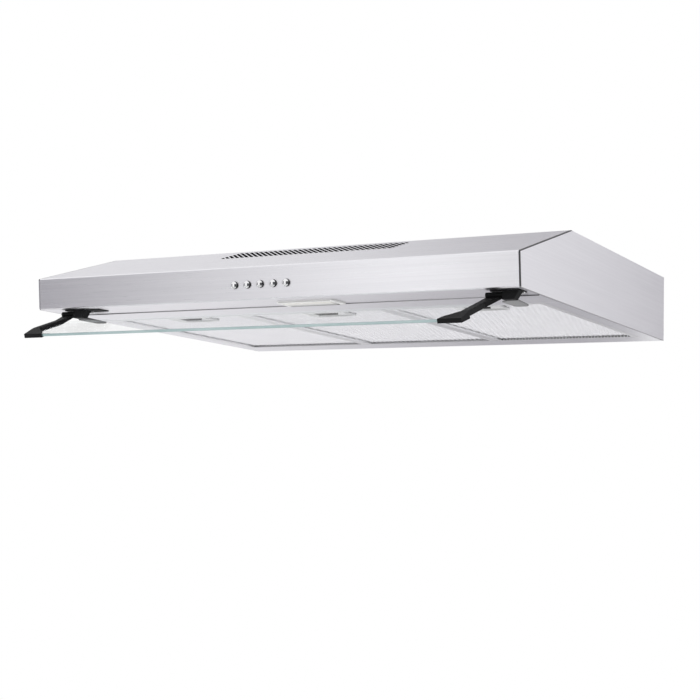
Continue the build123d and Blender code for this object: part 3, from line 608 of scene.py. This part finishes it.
CANOPY_STEEL = Finish(
    "canopy_steel", "brushed_steel", STEEL_TONES, (0.27, 0.36), Pattern.BRUSHED, LINES_ACROSS,
    bump=0.1, metallic=1.0, shades=(SLOT_WALL_SHADE,),
)
END_STEEL = Finish(
    "end_panel_steel", "brushed_steel", STEEL_TONES, (0.29, 0.38), Pattern.BRUSHED, LINES_BACK,
    bump=0.1, metallic=1.0, shades=(END_FRONT_EDGE_SHADE, END_SLOPE_EDGE_SHADE, END_FOOT_SHADE),
)
UNDERSIDE_STEEL = replace(
    END_STEEL, name="underside_steel", scale=LINES_ACROSS, shades=(LAPPED_EDGE_SHADE,)
)
ZINC_SHEET = Finish(
    "zinc_sheet", "zinc_sheet", ((0.5, 0.51, 0.52), (0.68, 0.69, 0.7)), (0.32, 0.5),
    Pattern.SPANGLED, (95.0, 95.0, 95.0), bump=0.08, metallic=1.0,
)
PLAIN_STEEL = Finish(
    "plain_steel", "plain_steel", ((0.52, 0.52, 0.53), (0.66, 0.66, 0.67)), (0.25, 0.4),
    bump=0.1, metallic=1.0,
)
CHROME = Finish(
    "button_chrome", "button_chrome", ((0.84, 0.84, 0.85), (0.9, 0.9, 0.91)), (0.04, 0.09),
    metallic=1.0, shades=(BUTTON_SKIRT_DARK_REFLECTION,),
)
BLACK_MOULDING = Finish(
    "black_moulding", "black_plastic", ((0.006, 0.006, 0.0065), (0.014, 0.014, 0.015)), (0.5, 0.65),
    bump=0.18, constants=(("Specular IOR Level", 0.1),), shades=BRACKET_TONGUE_PAINTED_SHEEN,
)
GREY_MOULDING = Finish(
    "grey_moulding", "grey_plastic", ((0.2, 0.2, 0.21), (0.28, 0.28, 0.29)), (0.45, 0.6), bump=0.2
)
LATCH_MOULDING = Finish(
    "latch_moulding", "latch_grey", ((0.74, 0.742, 0.75), (0.82, 0.822, 0.83)), (0.35, 0.5),
    bump=0.15,
)
BEZEL_MOULDING = Finish(
    "bezel_moulding", "bezel_grey", ((0.72, 0.715, 0.71), (0.8, 0.795, 0.79)), (0.25, 0.4),
    bump=0.1, shades=BEZEL_EDGE_SHADE,
)
FROSTED_LENS = Finish(
    "frosted_lens", "lens_plastic", ((0.68, 0.675, 0.635), (0.74, 0.735, 0.695)), (0.3, 0.45),
    scale=(900.0, 900.0, 900.0), bump=0.3, constants=(("Coat Weight", 0.3),), shades=LENS_PAINTED_SHADE,
)
BOARD_LACQUER = Finish(
    "board_lacquer", "board_white", ((0.82, 0.82, 0.8), (0.9, 0.9, 0.88)), (0.3, 0.4), bump=0.05
)
MOTOR_PAINT = Finish(
    "motor_paint", "motor_grey", ((0.23, 0.24, 0.26), (0.31, 0.32, 0.34)), (0.35, 0.5), bump=0.2
)
CAPACITOR_CASE = Finish(
    "capacitor_case", "capacitor_white", ((0.84, 0.84, 0.84), (0.9, 0.9, 0.9)), (0.25, 0.35),
    bump=0.06,
)
FRAME_ALUMINIUM = Finish(
    "frame_aluminium", "filter_aluminium", ((0.84, 0.84, 0.855), (0.9, 0.9, 0.91)), (0.34, 0.46),
    Pattern.BRUSHED, LINES_BACK, bump=0.08, metallic=1.0, shades=FRAME_REAR_LIP_SHADE,
)
MESH_ALUMINIUM = Finish(
    "mesh_aluminium", "filter_mesh", ((0.955, 0.95, 0.975), (0.98, 0.975, 0.995)), (0.3, 0.42),
    scale=(800.0, 800.0, 800.0), bump=0.1, metallic=0.4,
)
CORE_ALUMINIUM = Finish(
    "core_aluminium", "filter_mesh", ((0.9, 0.895, 0.925), (0.95, 0.945, 0.97)), (0.3, 0.45),
    scale=(800.0, 800.0, 800.0), bump=0.1, metallic=0.4,
)
VISOR_GLASS = Finish(
    "visor_float_glass", "visor_glass", (WHITE, WHITE), (0.0, 0.02), scale=(60.0, 60.0, 60.0),
    constants=(("Transmission Weight", 1.0), ("IOR", 1.5), ("Alpha", 0.12)),
    plain_colour=(0.8, 0.95, 0.94),
)
GLASS_EDGE = Finish(
    "ground_glass_edge", "visor_glass", ((0.26, 0.36, 0.365), (0.4, 0.49, 0.495)), (0.12, 0.25),
    scale=(700.0, 700.0, 700.0), bump=0.1, constants=(("Coat Weight", 0.4),),
)

SLOT_FINISHES = (
    ZINC_SHEET, PLAIN_STEEL, CHROME, BLACK_MOULDING, GREY_MOULDING, LATCH_MOULDING, BEZEL_MOULDING,
    FROSTED_LENS, BOARD_LACQUER, MOTOR_PAINT, CAPACITOR_CASE, FRAME_ALUMINIUM, MESH_ALUMINIUM,
    VISOR_GLASS, CANOPY_STEEL,
)


@dataclass
class Surface:
    """Points and polygons of one mesh under construction."""

    points: np.ndarray
    faces: list[np.ndarray]

    @staticmethod
    def grid(points: np.ndarray, wrap: bool = False) -> Surface:
        """A grid of points joined by quads; each quad runs along its row first.

        Args:
            points: positions of shape (rows, columns, 3).
            wrap: join the last column to the first.

        Returns:
            The surface.
        """
        rows, columns = points.shape[:2]
        low = np.arange(rows - 1)[:, None] * columns
        here = np.arange(columns if wrap else columns - 1)[None, :]
        after = (here + 1) % columns
        high = low + columns
        quads = np.stack([low + here, low + after, high + after, high + here], axis=-1)
        return Surface(points.reshape(-1, 3), [quads.reshape(-1, 4)])

    @staticmethod
    def prism(ends: np.ndarray) -> Surface:
        """Two outlines joined by quads and closed by a polygon each.

        Args:
            ends: positions of shape (2, points of the outline, 3).

        Returns:
            The closed surface.
        """
        wall = Surface.grid(ends, wrap=True)
        outline = np.arange(ends.shape[1])[None, :]
        return Surface(wall.points, [*wall.faces, outline[:, ::-1], outline + ends.shape[1]])

    @staticmethod
    def turned(rings: np.ndarray) -> Surface:
        """Rings joined by quads, with a fan of triangles round the pole at each end.

        Args:
            rings: positions of shape (rings, steps, 3); the first and last have no radius.

        Returns:
            The closed surface, with one point at each pole.
        """
        wall = Surface.grid(rings[1:-1], wrap=True)
        steps, count = rings.shape[1], len(wall.points)
        here = np.arange(steps)
        after = (here + 1) % steps
        last = count - steps
        foot = np.stack([np.full(steps, count), after, here], axis=-1)
        top = np.stack([last + here, last + after, np.full(steps, count + 1)], axis=-1)
        poles = rings[[0, -1], 0]
        return Surface(np.concatenate([wall.points, poles]), [*wall.faces, foot, top])

    def joined(self, *others: Surface) -> Surface:
        """This surface and others as one, with the others' indices moved up.

        Args:
            others: the surfaces to add.

        Returns:
            All of them as one.
        """
        points, faces, start = [self.points], list(self.faces), len(self.points)
        for other in others:
            points.append(other.points)
            faces += [block + start for block in other.faces]
            start += len(other.points)
        return Surface(np.concatenate(points), faces)

    def placed(self, frame: np.ndarray, origin: np.ndarray) -> Surface:
        """The surface carried to a frame whose rows are its axes, at an origin."""
        return Surface(self.points @ frame + origin, self.faces)

    def pruned(self) -> Surface:
        """Leave out the points that no face uses.

        Returns:
            The surface with the rest.
        """
        indices = np.concatenate([block.ravel() for block in self.faces])
        used, flat = np.unique(indices, return_inverse=True)
        parts = np.split(flat, np.cumsum([block.size for block in self.faces])[:-1])
        faces = [part.reshape(block.shape) for part, block in zip(parts, self.faces)]
        return Surface(self.points[used], faces)

    def build(self, name: str, sharp_degrees: float = 40.0) -> bpy.types.Object:
        """Make the Blender object, smooth up to an angle between faces.

        Args:
            name: the object's name.
            sharp_degrees: edges sharper than this stay sharp.

        Returns:
            The object, at the origin and linked to the scene.
        """
        mesh = bpy.data.meshes.new(name)
        faces = [row for block in self.faces for row in block.tolist()]
        mesh.from_pydata(self.points.tolist(), [], faces)
        mesh.polygons.foreach_set("use_smooth", np.ones(len(mesh.polygons), dtype=bool))
        mesh.set_sharp_from_angle(angle=math.radians(sharp_degrees))
        made = bpy.data.objects.new(name, mesh)
        bpy.context.scene.collection.objects.link(made)
        return made


def lathe(profile: np.ndarray, steps: int) -> np.ndarray:
    """A profile of (radius, height) turned about Z: x = r cos a, y = r sin a, z = h.

    Args:
        profile: points of shape (n, 2), from the foot up.
        steps: divisions of the turn.

    Returns:
        One ring of points for each point of the profile, of shape (n, steps, 3).
    """
    angle = np.linspace(0.0, FULL_TURN, steps, endpoint=False)
    radius, height = profile[:, 0:1], profile[:, 1:2]
    x, y = radius * np.cos(angle), radius * np.sin(angle)
    return np.stack([x, y, np.broadcast_to(height, x.shape)], axis=-1)


def corners_of(node: str) -> Box:
    """Lowest and highest corner of a CAD node's box."""
    low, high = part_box(node)
    return np.array(low), np.array(high)


class Workshop:
    """Holds the frame and the shader groups, dresses nodes and takes in new pieces."""

    def __init__(self, frame: dict) -> None:
        """Build the shader groups.
        """
        self.frame = frame
        self.library = PatternLibrary()

    def dress(self, node: str, finish: Finish) -> None:
        """Give a CAD node its finish.

        Args:
            node: the node's name.
            finish: its finish.
        """
        slots = self.frame["nodes"][node].data.materials
        slots.clear()
        slots.append(finish.material(self.library))

    def dress_by_slot(self) -> None:
        """Give every CAD node the finish of its material slot."""
        finishes = {finish.slot: finish for finish in SLOT_FINISHES}
        for subpart in self.frame["record"]["subparts"]:
            self.dress(subpart["node"], finishes[subpart["material_slot"]])

    def take(self, piece: bpy.types.Object, body: str, finish: Finish, *nodes: str) -> None:
        """Finish a new piece, let it ride on a body and stand for CAD nodes.

        Args:
            piece: the new object.
            body: the body it moves with.
            finish: its finish.
            nodes: the CAD nodes that it stands for.
        """
        piece.data.materials.append(finish.material(self.library))
        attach(piece, body)
        if nodes:
            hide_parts(*nodes)
        LOG.info("piece %s rides on %s", piece.name, body)

    def joint(self, name: str) -> dict:
        """The record's joint of that name."""
        return next(joint for joint in self.frame["joints"] if joint["name"] == name)

    def points_of(self, node: str) -> np.ndarray:
        """Read the vertices of a CAD node.

        Args:
            node: the node's name.

        Returns:
            Their positions, of shape (n, 3).
        """
        mesh = self.frame["nodes"][node].data
        flat = np.empty(len(mesh.vertices) * 3)
        mesh.vertices.foreach_get("co", flat)
        return flat.reshape(-1, 3)


@dataclass
class Assembly:
    """A group of pieces that a workshop dresses or takes in."""

    shop: Workshop


@dataclass
class Casing(Assembly):
    """The steel sheets that differ from the canopy's in brushing or in painted shade at their
    edges.
    """

    ends: tuple[str, ...] = ("end_panel_left", "end_panel_right")
    underside: tuple[str, ...] = ("lamp_panel", "back_panel")

    def make(self) -> None:
        """Dress the sheets."""
        for node in self.ends:
            self.shop.dress(node, END_STEEL)
        for node in self.underside:
            self.shop.dress(node, UNDERSIDE_STEEL)


@dataclass
class ButtonRow(Assembly):
    """Chrome push buttons: a skirt, a domed crown and the stem behind."""

    radius: float = 3.9 * MM
    proud: float = 4.6 * MM
    dome: float = 2.0 * MM
    skirt: float = 1.6 * MM
    stem_radius: float = 2.5 * MM
    stem_length: float = 9.0 * MM
    dome_steps: int = 14
    turn_steps: int = 48

    def cap(self) -> Surface:
        """One button along +Z, with its crown up.

        The crown is an arc through the rim and the apex: z = proud - R + sqrt(R^2 - r^2), with
        R = (radius^2 + dome^2) / (2 dome).

        Returns:
            The turned surface.
        """
        ball = (self.radius**2 + self.dome**2) / (2 * self.dome)
        r = self.radius * np.cos(np.linspace(0.0, QUARTER_TURN, self.dome_steps))
        crown = np.stack([r, self.proud - ball + np.sqrt(ball**2 - r**2)], axis=-1)
        foot = -self.skirt - self.stem_length
        stem, rim = self.stem_radius, self.radius
        below = np.array([(0.0, foot), (stem, foot), (stem, -self.skirt), (rim, -self.skirt)])
        return Surface.turned(lathe(np.concatenate([below, crown]), self.turn_steps))

    def make(self) -> None:
        """Set a cap on each button's axis, with its apex at the node's furthest point."""
        across = np.array(OUTWARD)
        for number in BUTTON_NUMBERS:
            node = f"button_{number}"
            inward = np.array(self.shop.joint(f"{node}_press")["axis"])
            points = self.shop.points_of(node)
            seat = points[np.argmin(points @ inward)] + inward * self.proud
            frame = np.stack([across, np.cross(-inward, across), -inward])
            piece = self.cap().placed(frame, seat).build(f"button_cap_{number}")
            self.shop.take(piece, node, CHROME, node)


@dataclass
class GreaseFilters(Assembly):
    """Pleated aluminium mesh in each filter frame: wavy strands over a dimpled core."""

    wave: float = 6.0 * MM
    samples: int = 6
    strand_pitch: float = 3.0 * MM
    strand: float = 0.45 * MM
    crimp: float = 0.45 * MM
    crimp_pitch: float = 6.3 * MM
    crimp_skew: float = 0.285
    core_cell: float = 3.0 * MM
    core_dimple: float = 0.2 * MM
    core_gap: float = 0.3 * MM
    core_sheet: float = 0.25 * MM
    core_sharp_degrees: float = 180.0
    pocket_ramp: float = 2.0 * MM
    pocket_lip: float = 1.6 * MM

    def crimped(self, x: np.ndarray, y: np.ndarray) -> np.ndarray:
        """Height of the pleats that run aslant: crimp sin(2 pi (x + skew y) / pitch)."""
        return self.crimp * np.sin(FULL_TURN * (x + self.crimp_skew * y) / self.crimp_pitch)

    def strands(self, box: Box, hole: Box) -> Surface:
        """Crimped strands that meet their neighbours at every crest.

        A strand runs along y = row + (-1)^row swing sin(2 pi x / wave).

        Args:
            box: lowest and highest corner of the mesh.
            hole: those of the latch pocket, where strands are left out.

        Returns:
            Closed tubes of square section for all rows.
        """
        low, high = box
        half, pitch = self.strand / 2, self.strand_pitch
        x = np.linspace(low[0], high[0], int((high[0] - low[0]) / self.wave * self.samples))
        rows = np.arange(low[1] + pitch, high[1] - pitch / 2, pitch)
        sign = np.where(np.arange(len(rows)) % 2, -1.0, 1.0)
        swing = (pitch - self.strand) / 2
        y = rows[:, None] + sign[:, None] * swing * np.sin(FULL_TURN * x / self.wave)[None, :]
        z = low[2] + half + self.crimp + self.crimped(x[None, :], y)
        centre = np.stack([np.broadcast_to(x, y.shape), y, z], axis=-1)
        section = np.array([(0, 1, 0), (0, 0, 1), (0, -1, 0), (0, 0, -1)]) * half
        points = (centre[:, :, None, :] + section).reshape(-1, 3)

        middle = (centre[:, 1:] + centre[:, :-1]) / 2
        kept = ~np.all((middle > hole[0] - half) & (middle < hole[1] + half), axis=-1)
        none = np.zeros((len(rows), 1), dtype=bool)
        first = kept & ~np.concatenate([none, kept[:, :-1]], axis=1)
        last = kept & ~np.concatenate([kept[:, 1:], none], axis=1)

        side = np.arange(len(section))
        turn = np.roll(side, -1)
        index = np.arange(centre.shape[0] * centre.shape[1]).reshape(y.shape) * len(section)
        here = index[:, :-1]
        start, end = here[kept][:, None], here[kept][:, None] + len(section)
        walls = np.stack([start + side, start + turn, end + turn, end + side], axis=-1)
        heads = here[first][:, None] + side[::-1]
        tails = here[last][:, None] + len(section) + side
        return Surface(points, [walls.reshape(-1, 4), heads, tails]).pruned()

    def core(self, box: Box, hole: Box) -> Surface:
        """Dimpled backing sheet: z = crimped level + dimple sin(pi x / cell) sin(pi y / cell).

        Args:
            box: lowest and highest corner of the mesh.
            hole: those of the latch pocket, which is left open.

        Returns:
            The sheet, to be given its thickness.
        """
        low, high = box
        x = np.arange(low[0], high[0], self.core_cell / 2)
        y = np.arange(low[1], high[1], self.core_cell / 2)
        across, along = np.meshgrid(x, y)
        wave = np.sin(math.pi * across / self.core_cell) * np.sin(math.pi * along / self.core_cell)
        level = low[2] + self.strand + self.crimp + self.core_gap + self.core_dimple
        z = level + self.crimped(across, along) + self.core_dimple * wave
        sheet = Surface.grid(np.stack([across, along, z], axis=-1))
        quads = sheet.faces[0]
        middle = sheet.points[quads].mean(axis=1)[:, :2]
        inside = np.all((middle > hole[0][:2]) & (middle < hole[1][:2]), axis=1)
        return Surface(sheet.points, [quads[~inside]]).pruned()

    def pocket_finish(self, tag: str, corner: np.ndarray) -> Finish:
        """The latch's grey, with painted shade where the pocket is deep.

        Args:
            tag: the filter's name.
            corner: the pocket's lowest corner.

        Returns:
            The finish of that pocket.
        """
        # Painted shade inside the pocket, beyond a strip at its left side and above its lip.
        planes = ((OUTWARD, corner[0] + self.pocket_ramp), (UPWARD, corner[2] + self.pocket_lip))
        deep = Shade(POCKET_SHADE_TONE, planes, POCKET_BORDER, folded=False)
        return replace(LATCH_MOULDING, name=f"pocket_moulding_{tag}", shades=(deep,))

    def make(self) -> None:
        """Fill each filter frame with its mesh, and paint shade into its pocket's inside."""
        for tag in FILTER_TAGS:
            body, mesh, pocket = f"filter_{tag}", f"filter_mesh_{tag}", f"latch_pocket_{tag}"
            box, hole = corners_of(mesh), corners_of(pocket)
            self.shop.dress(pocket, self.pocket_finish(tag, hole[0]))
            weave = self.strands(box, hole).build(f"filter_weave_{tag}")
            self.shop.take(weave, body, MESH_ALUMINIUM, mesh)
            core = self.core(box, hole).build(f"filter_core_{tag}", self.core_sharp_degrees)
            core.modifiers.new("sheet", "SOLIDIFY").thickness = self.core_sheet
            self.shop.take(core, body, CORE_ALUMINIUM)


@dataclass
class Visor(Assembly):
    """The glass pane with a ground front edge, in the plane of its hinge."""

    tilt_degrees: float = 19.5
    half_width: float = 257.4 * MM
    rear: float = 12.0 * MM
    reach: float = 80.7 * MM
    thickness: float = 3.0 * MM
    under_hinge: float = 7.0 * MM
    edge_roll: float = 0.9 * MM
    corner: float = 2.0 * MM
    rim: float = 1.2 * MM
    corner_steps: int = 6
    roll_steps: int = 9
    pane_sharp_degrees: float = 25.0
    edge_sharp_degrees: float = 60.0

    def pane(self) -> Surface:
        """The clear slab behind the ground edge, a rounded rectangle.

        Each of its corners is (u, v) = middle of the corner + radius (cos a, sin a).

        Returns:
            The closed slab, with v along the arms and the hinge at v = 0.
        """
        front = self.reach - self.rim
        depth, middle = (front - self.rear) / 2, -(front + self.rear) / 2
        quarter = np.linspace(0.0, QUARTER_TURN, self.corner_steps)
        turn = np.concatenate([quarter + k * QUARTER_TURN for k in range(4)])
        sides = np.repeat([(1, 1), (-1, 1), (-1, -1), (1, -1)], self.corner_steps, axis=0)
        u = sides[:, 0] * (self.half_width - self.corner) + self.corner * np.cos(turn)
        v = middle + sides[:, 1] * (depth - self.corner) + self.corner * np.sin(turn)
        level = np.array((-0.5, 0.5))[:, None] * self.thickness - self.under_hinge
        return Surface.prism(np.stack(np.broadcast_arrays(u, v, level), axis=-1))

    def edge(self) -> Surface:
        """The ground front edge, a bar along the pane whose front is a flattened half circle.

        At section angle t from -90 to 90 degrees the front is drawn in by roll (1 - cos t) and
        stands at w = thickness / 2 sin t; the back is the pane's own front.

        Returns:
            The bar, closed at its ends.
        """
        section = np.linspace(-QUARTER_TURN, QUARTER_TURN, self.roll_steps)
        front = self.edge_roll * (1 - np.cos(section)) - self.reach
        v = np.append(front, [self.rim - self.reach] * 2)
        w = np.append(np.sin(section), (1.0, -1.0)) * self.thickness / 2 - self.under_hinge
        u = np.array((1.0, -1.0))[:, None] * (self.half_width - self.corner)
        return Surface.prism(np.stack(np.broadcast_arrays(u, v, w), axis=-1))

    def make(self) -> None:
        """Set the pane and its edge in the visor's plane."""
        tilt = math.radians(self.tilt_degrees)
        along = (0.0, math.cos(tilt), math.sin(tilt))
        frame = np.array([OUTWARD, along, (0.0, -along[2], along[1])])
        origin = np.array(self.shop.joint("visor_tilt")["pos_m"])
        pane = self.pane().placed(frame, origin).build("visor_pane", self.pane_sharp_degrees)
        self.shop.take(pane, "visor", VISOR_GLASS, "visor_glass")
        edge = self.edge().placed(frame, origin).build("visor_edge", self.edge_sharp_degrees)
        self.shop.take(edge, "visor", GLASS_EDGE)


@dataclass
class Screws(Assembly):
    """Pan-head screws with a cross recess."""

    head_radius: float = 2.8 * MM
    head_height: float = 2.0 * MM
    shank_radius: float = 1.5 * MM
    recess_depth: float = 1.1 * MM
    recess_reach: float = 1.7 * MM
    recess_slope: float = 2.0
    blade: float = 0.38 * MM
    blade_fade: float = 1.5
    rings: int = 14
    steps: int = 64
    crown: float = 0.7 * MM
    hinge_pair: float = 25.0 * MM

    def one(self, length: float) -> Surface:
        """One screw with its head up and its seat at z = 0.

        The head's top is z(r, a) = height - crown (r / R)^2 less a cross recess, whose depth falls
        off with the distance from the nearer of two perpendicular blades, and towards its reach.

        Args:
            length: the shank's length below the seat.

        Returns:
            Head and shank as one turned surface.
        """
        r = np.linspace(0.0, self.head_radius, self.rings)[::-1, None]
        a = np.linspace(0.0, FULL_TURN, self.steps, endpoint=False)[None, :]
        x, y = r * np.cos(a), r * np.sin(a)
        off_blade = self.blade_fade - np.minimum(np.abs(x), np.abs(y)) / self.blade
        off_middle = self.recess_slope - self.recess_slope * r / self.recess_reach
        depth = np.clip(off_blade, 0.0, 1.0) * np.clip(off_middle, 0.0, 1.0)
        z = self.head_height - self.crown * (r / self.head_radius) ** 2 - self.recess_depth * depth
        shank, rim = self.shank_radius, self.head_radius
        below = np.array([(0.0, -length), (shank, -length), (shank, 0.0), (rim, 0.0)])
        head = np.stack([x, y, z], axis=-1)
        return Surface.turned(np.concatenate([lathe(below, self.steps), head]))

    def group(self, node: str, places: np.ndarray, up: bool) -> None:
        """Make all screws of a node as one piece.

        Args:
            node: the CAD node that holds the screws.
            places: their axes in plan, of shape (n, 2).
            up: whether the heads point up.
        """
        low, high = corners_of(node)
        seat = high[2] - self.head_height if up else low[2] + self.head_height
        length = seat - low[2] if up else high[2] - seat
        frame = np.diag((1.0, 1.0, 1.0) if up else (1.0, -1.0, -1.0))
        screw = self.one(length)
        made = [screw.placed(frame, np.array((*place, seat))) for place in places]
        piece = made[0].joined(*made[1:]).build(f"{node}_driven")
        self.shop.take(piece, "casing", PLAIN_STEEL, node)

    def make(self) -> None:
        """Make the hinge, motor and outlet screws at their nodes' places."""
        low, high = corners_of("hinge_screws")
        reach = (high - low)[0] / 2 - self.head_radius
        along = np.array((-reach, self.hinge_pair - reach, reach - self.hinge_pair, reach))
        places = ((low + high) / 2)[:2] + along[:, None] * np.array((1.0, 0.0))
        self.group("hinge_screws", places, False)
        for node, corners, up in (
            ("motor_screws", np.array([(-1, 0), (1, 0), (0, -1), (0, 1)]), False),
            ("collar_screws", np.array([(-1, -1), (1, -1), (-1, 1), (1, 1)]), True),
        ):
            low, high = corners_of(node)
            reach = (high - low)[:2] / 2 - self.head_radius
            self.group(node, ((low + high) / 2)[:2] + corners * reach, up)


@dataclass(frozen=True)
class Lamp:
    """A square soft lamp, with its side in metres and its power in watts."""

    name: str
    place: Triple
    size: float
    power: float


@dataclass(frozen=True)
class Card:
    """A card for the steel to reflect, whose tone changes across a part of its width."""

    name: str
    centre: Triple
    across: Triple
    size: tuple[float, float]
    tones: Tones
    ramp: tuple[float, float] = (-0.5, 0.5)


CARD_GREY = (0.09, 0.09, 0.096)
CARD_PALE = (0.9, 0.895, 0.91)
CARD_MIDDLE = (0.43, 0.42, 0.445)


@dataclass
class Studio:
    """Camera at the photograph's place, soft light, a pale floor and cards to reflect."""

    camera_place: Triple = (0.805, -1.552, -0.280)
    azimuth: float = -28.98
    elevation: float = 5.76
    roll: float = 1.69
    focal_pixels: float = 1406.0
    image_pixels: float = 700.0
    sensor: float = 36.0
    world_light: float = 0.55
    floor_level: float = -1.1
    floor_radius: float = 2.4
    floor_sides: int = 96
    floor_fade: tuple[float, float] = (0.55, 0.98)
    floor_tone: Colour = (0.9, 0.9, 0.9)
    floor_roughness: float = 0.7
    target: Triple = (0.0, -0.1, -0.05)
    lamps: tuple[Lamp, ...] = (
        Lamp("key_light", (-1.2, -2.6, 1.6), 1.6, 38.0),
        Lamp("fill_light", (2.2, -1.4, 0.9), 1.4, 16.0),
        Lamp("under_light", (-1.1, -1.0, -1.6), 1.4, 24.0),
    )
    cards: tuple[Card, ...] = (
        Card(
            "card_left", (-1.77, -1.83, -0.1), (0.727, -0.687, 0.0), (1.95, 2.2),
            ((0.2, 0.19, 0.22), WHITE), (-0.1, 0.49),
        ),
        Card(
            "card_dark", (0.7, -1.06, -0.3), (0.609, 0.793, 0.0), (1.6, 1.58),
            (CARD_GREY, CARD_GREY),
        ),
        Card(
            "card_bright", (0.0, -0.8, -0.1), OUTWARD, (0.3, 0.6),
            ((1.14, 1.14, 1.14), (0.7, 0.7, 0.7)), (0.0, 0.4),
        ),
        Card(
            "card_high", (-1.7, 1.2, 0.83), OUTWARD, (3.3, 1.36),
            ((0.75, 0.745, 0.76), CARD_MIDDLE), (0.18, 0.46),
        ),
        Card(
            "card_low", (-1.7, 1.2, -0.48), OUTWARD, (3.3, 1.26),
            (CARD_PALE, CARD_MIDDLE), (0.14, 0.46),
        ),
        Card(
            "card_side", (0.75, 1.2, 0.2), OUTWARD, (1.0, 2.6),
            ((0.31, 0.3, 0.325), CARD_PALE), (-0.25, 0.16),
        ),
    )

    def camera(self) -> None:
        """Place the camera: its columns are right, up and back, turned by the roll."""
        a, e, k = (math.radians(v) for v in (self.azimuth, self.elevation, self.roll))
        forward = Vector((math.sin(a) * math.cos(e), math.cos(a) * math.cos(e), math.sin(e)))
        right = Vector((math.cos(a), -math.sin(a), 0.0))
        up = right.cross(forward)
        right_rolled = right * math.cos(k) + up * math.sin(k)
        up_rolled = up * math.cos(k) - right * math.sin(k)
        data = bpy.data.cameras.new("photo_camera")
        data.sensor_width = self.sensor
        data.lens = self.focal_pixels / self.image_pixels * self.sensor
        camera = bpy.data.objects.new("photo_camera", data)
        bpy.context.scene.collection.objects.link(camera)
        turned = Matrix((right_rolled, up_rolled, -forward)).transposed().to_4x4()
        camera.matrix_world = Matrix.Translation(self.camera_place) @ turned
        bpy.context.scene.camera = camera

    def world(self) -> None:
        """White to the camera and in reflections, a plain level as light."""
        world = bpy.data.worlds.new("studio_world")
        bpy.context.scene.world = world
        world.use_nodes = True
        canvas = NodeCanvas(world.node_tree)
        path = canvas.add("ShaderNodeLightPath").outputs
        seen = canvas.math("MAXIMUM", path["Is Camera Ray"], path["Is Glossy Ray"])
        seen = canvas.math("MAXIMUM", seen, path["Is Transmission Ray"])
        level = canvas.ramp(seen, 0.0, 1.0, self.world_light, 1.0)
        sky = canvas.add("ShaderNodeBackground", Color=opaque(WHITE), Strength=level)
        canvas.add("ShaderNodeOutputWorld", Surface=sky.outputs[0])

    def floor(self) -> None:
        """A pale round floor that fades out at its rim, and that only what is above it sees."""
        angle = np.linspace(0.0, FULL_TURN, self.floor_sides, endpoint=False)
        ring = np.stack([np.cos(angle), np.sin(angle), 0.0 * angle], axis=-1) * self.floor_radius
        ring[:, 2] += self.floor_level
        piece = Surface(ring, [np.arange(len(ring))[None, :]]).build("studio_floor")
        made, canvas = blank_material("floor_paper")
        flat = canvas.add("ShaderNodeMapping", Vector=canvas.place(), Scale=(1.0, 1.0, 0.0))
        length = canvas.vector("LENGTH", flat.outputs[0])["Value"]
        start, end = (share * self.floor_radius for share in self.floor_fade)
        fade = canvas.ramp(length, start, end, 1.0, 0.0, Ramp.SMOOTH)
        below = canvas.add("ShaderNodeNewGeometry").outputs["Backfacing"]
        paper = canvas.add(
            "ShaderNodeBsdfPrincipled",
            Base_Color=opaque(self.floor_tone), Roughness=self.floor_roughness,
            Alpha=canvas.math("MULTIPLY", fade, canvas.math("SUBTRACT", 1.0, below)),
        )
        canvas.add("ShaderNodeOutputMaterial", Surface=paper.outputs[0])
        piece.data.materials.append(made)
        piece.visible_shadow = False

    def light(self) -> None:
        """Aim the lamps at the hood, and keep them out of reflections."""
        for lamp in self.lamps:
            data = bpy.data.lights.new(lamp.name, "AREA")
            data.size = lamp.size
            data.energy = lamp.power
            placed = bpy.data.objects.new(lamp.name, data)
            bpy.context.scene.collection.objects.link(placed)
            placed.location = lamp.place
            aim = Vector(self.target) - Vector(lamp.place)
            placed.rotation_euler = aim.to_track_quat("-Z", "Y").to_euler()
            placed.visible_glossy = False

    def card(self, card: Card) -> None:
        """Set up a card that only reflections see.

        Args:
            card: its place, size and tones.
        """
        across = np.array(card.across)
        frame = np.array([across, UPWARD, np.cross(across, UPWARD)])
        corners = np.array([(-0.5, -0.5, 0.0), (0.5, -0.5, 0.0), (0.5, 0.5, 0.0), (-0.5, 0.5, 0.0)])
        sheet = Surface(corners * np.array((*card.size, 1.0)), [np.arange(len(corners))[None, :]])
        piece = sheet.placed(frame, np.array(card.centre)).build(card.name)
        made, canvas = blank_material(card.name)
        offset = canvas.vector("SUBTRACT", canvas.place(), card.centre)["Vector"]
        sideways = canvas.vector("DOT_PRODUCT", offset, card.across)["Value"]
        start, end = (share * card.size[0] for share in card.ramp)
        fade = canvas.ramp(sideways, start, end, kind=Ramp.SMOOTH)
        tone = canvas.mix(fade, *(opaque(colour) for colour in card.tones))
        glow = canvas.add("ShaderNodeEmission", Color=tone, Strength=1.0)
        canvas.add("ShaderNodeOutputMaterial", Surface=glow.outputs[0])
        piece.data.materials.append(made)
        piece.visible_camera = piece.visible_diffuse = False
        piece.visible_shadow = piece.visible_transmission = False

    def make(self) -> None:
        """Set up everything that isn't the hood."""
        bpy.context.scene.view_settings.view_transform = "Standard"
        self.camera()
        self.world()
        self.floor()
        self.light()
        for card in self.cards:
            self.card(card)


def main() -> None:
    """Load the frame, dress it, add the fine pieces and set the studio."""
    logging.basicConfig(level=logging.INFO, format="%(name)s: %(message)s")
    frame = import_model()
    shop = Workshop(frame)
    shop.dress_by_slot()
    for assembly in (Casing, ButtonRow, GreaseFilters, Visor, Screws):
        assembly(shop).make()
    Studio().make()


if __name__ == "__main__":
    main()
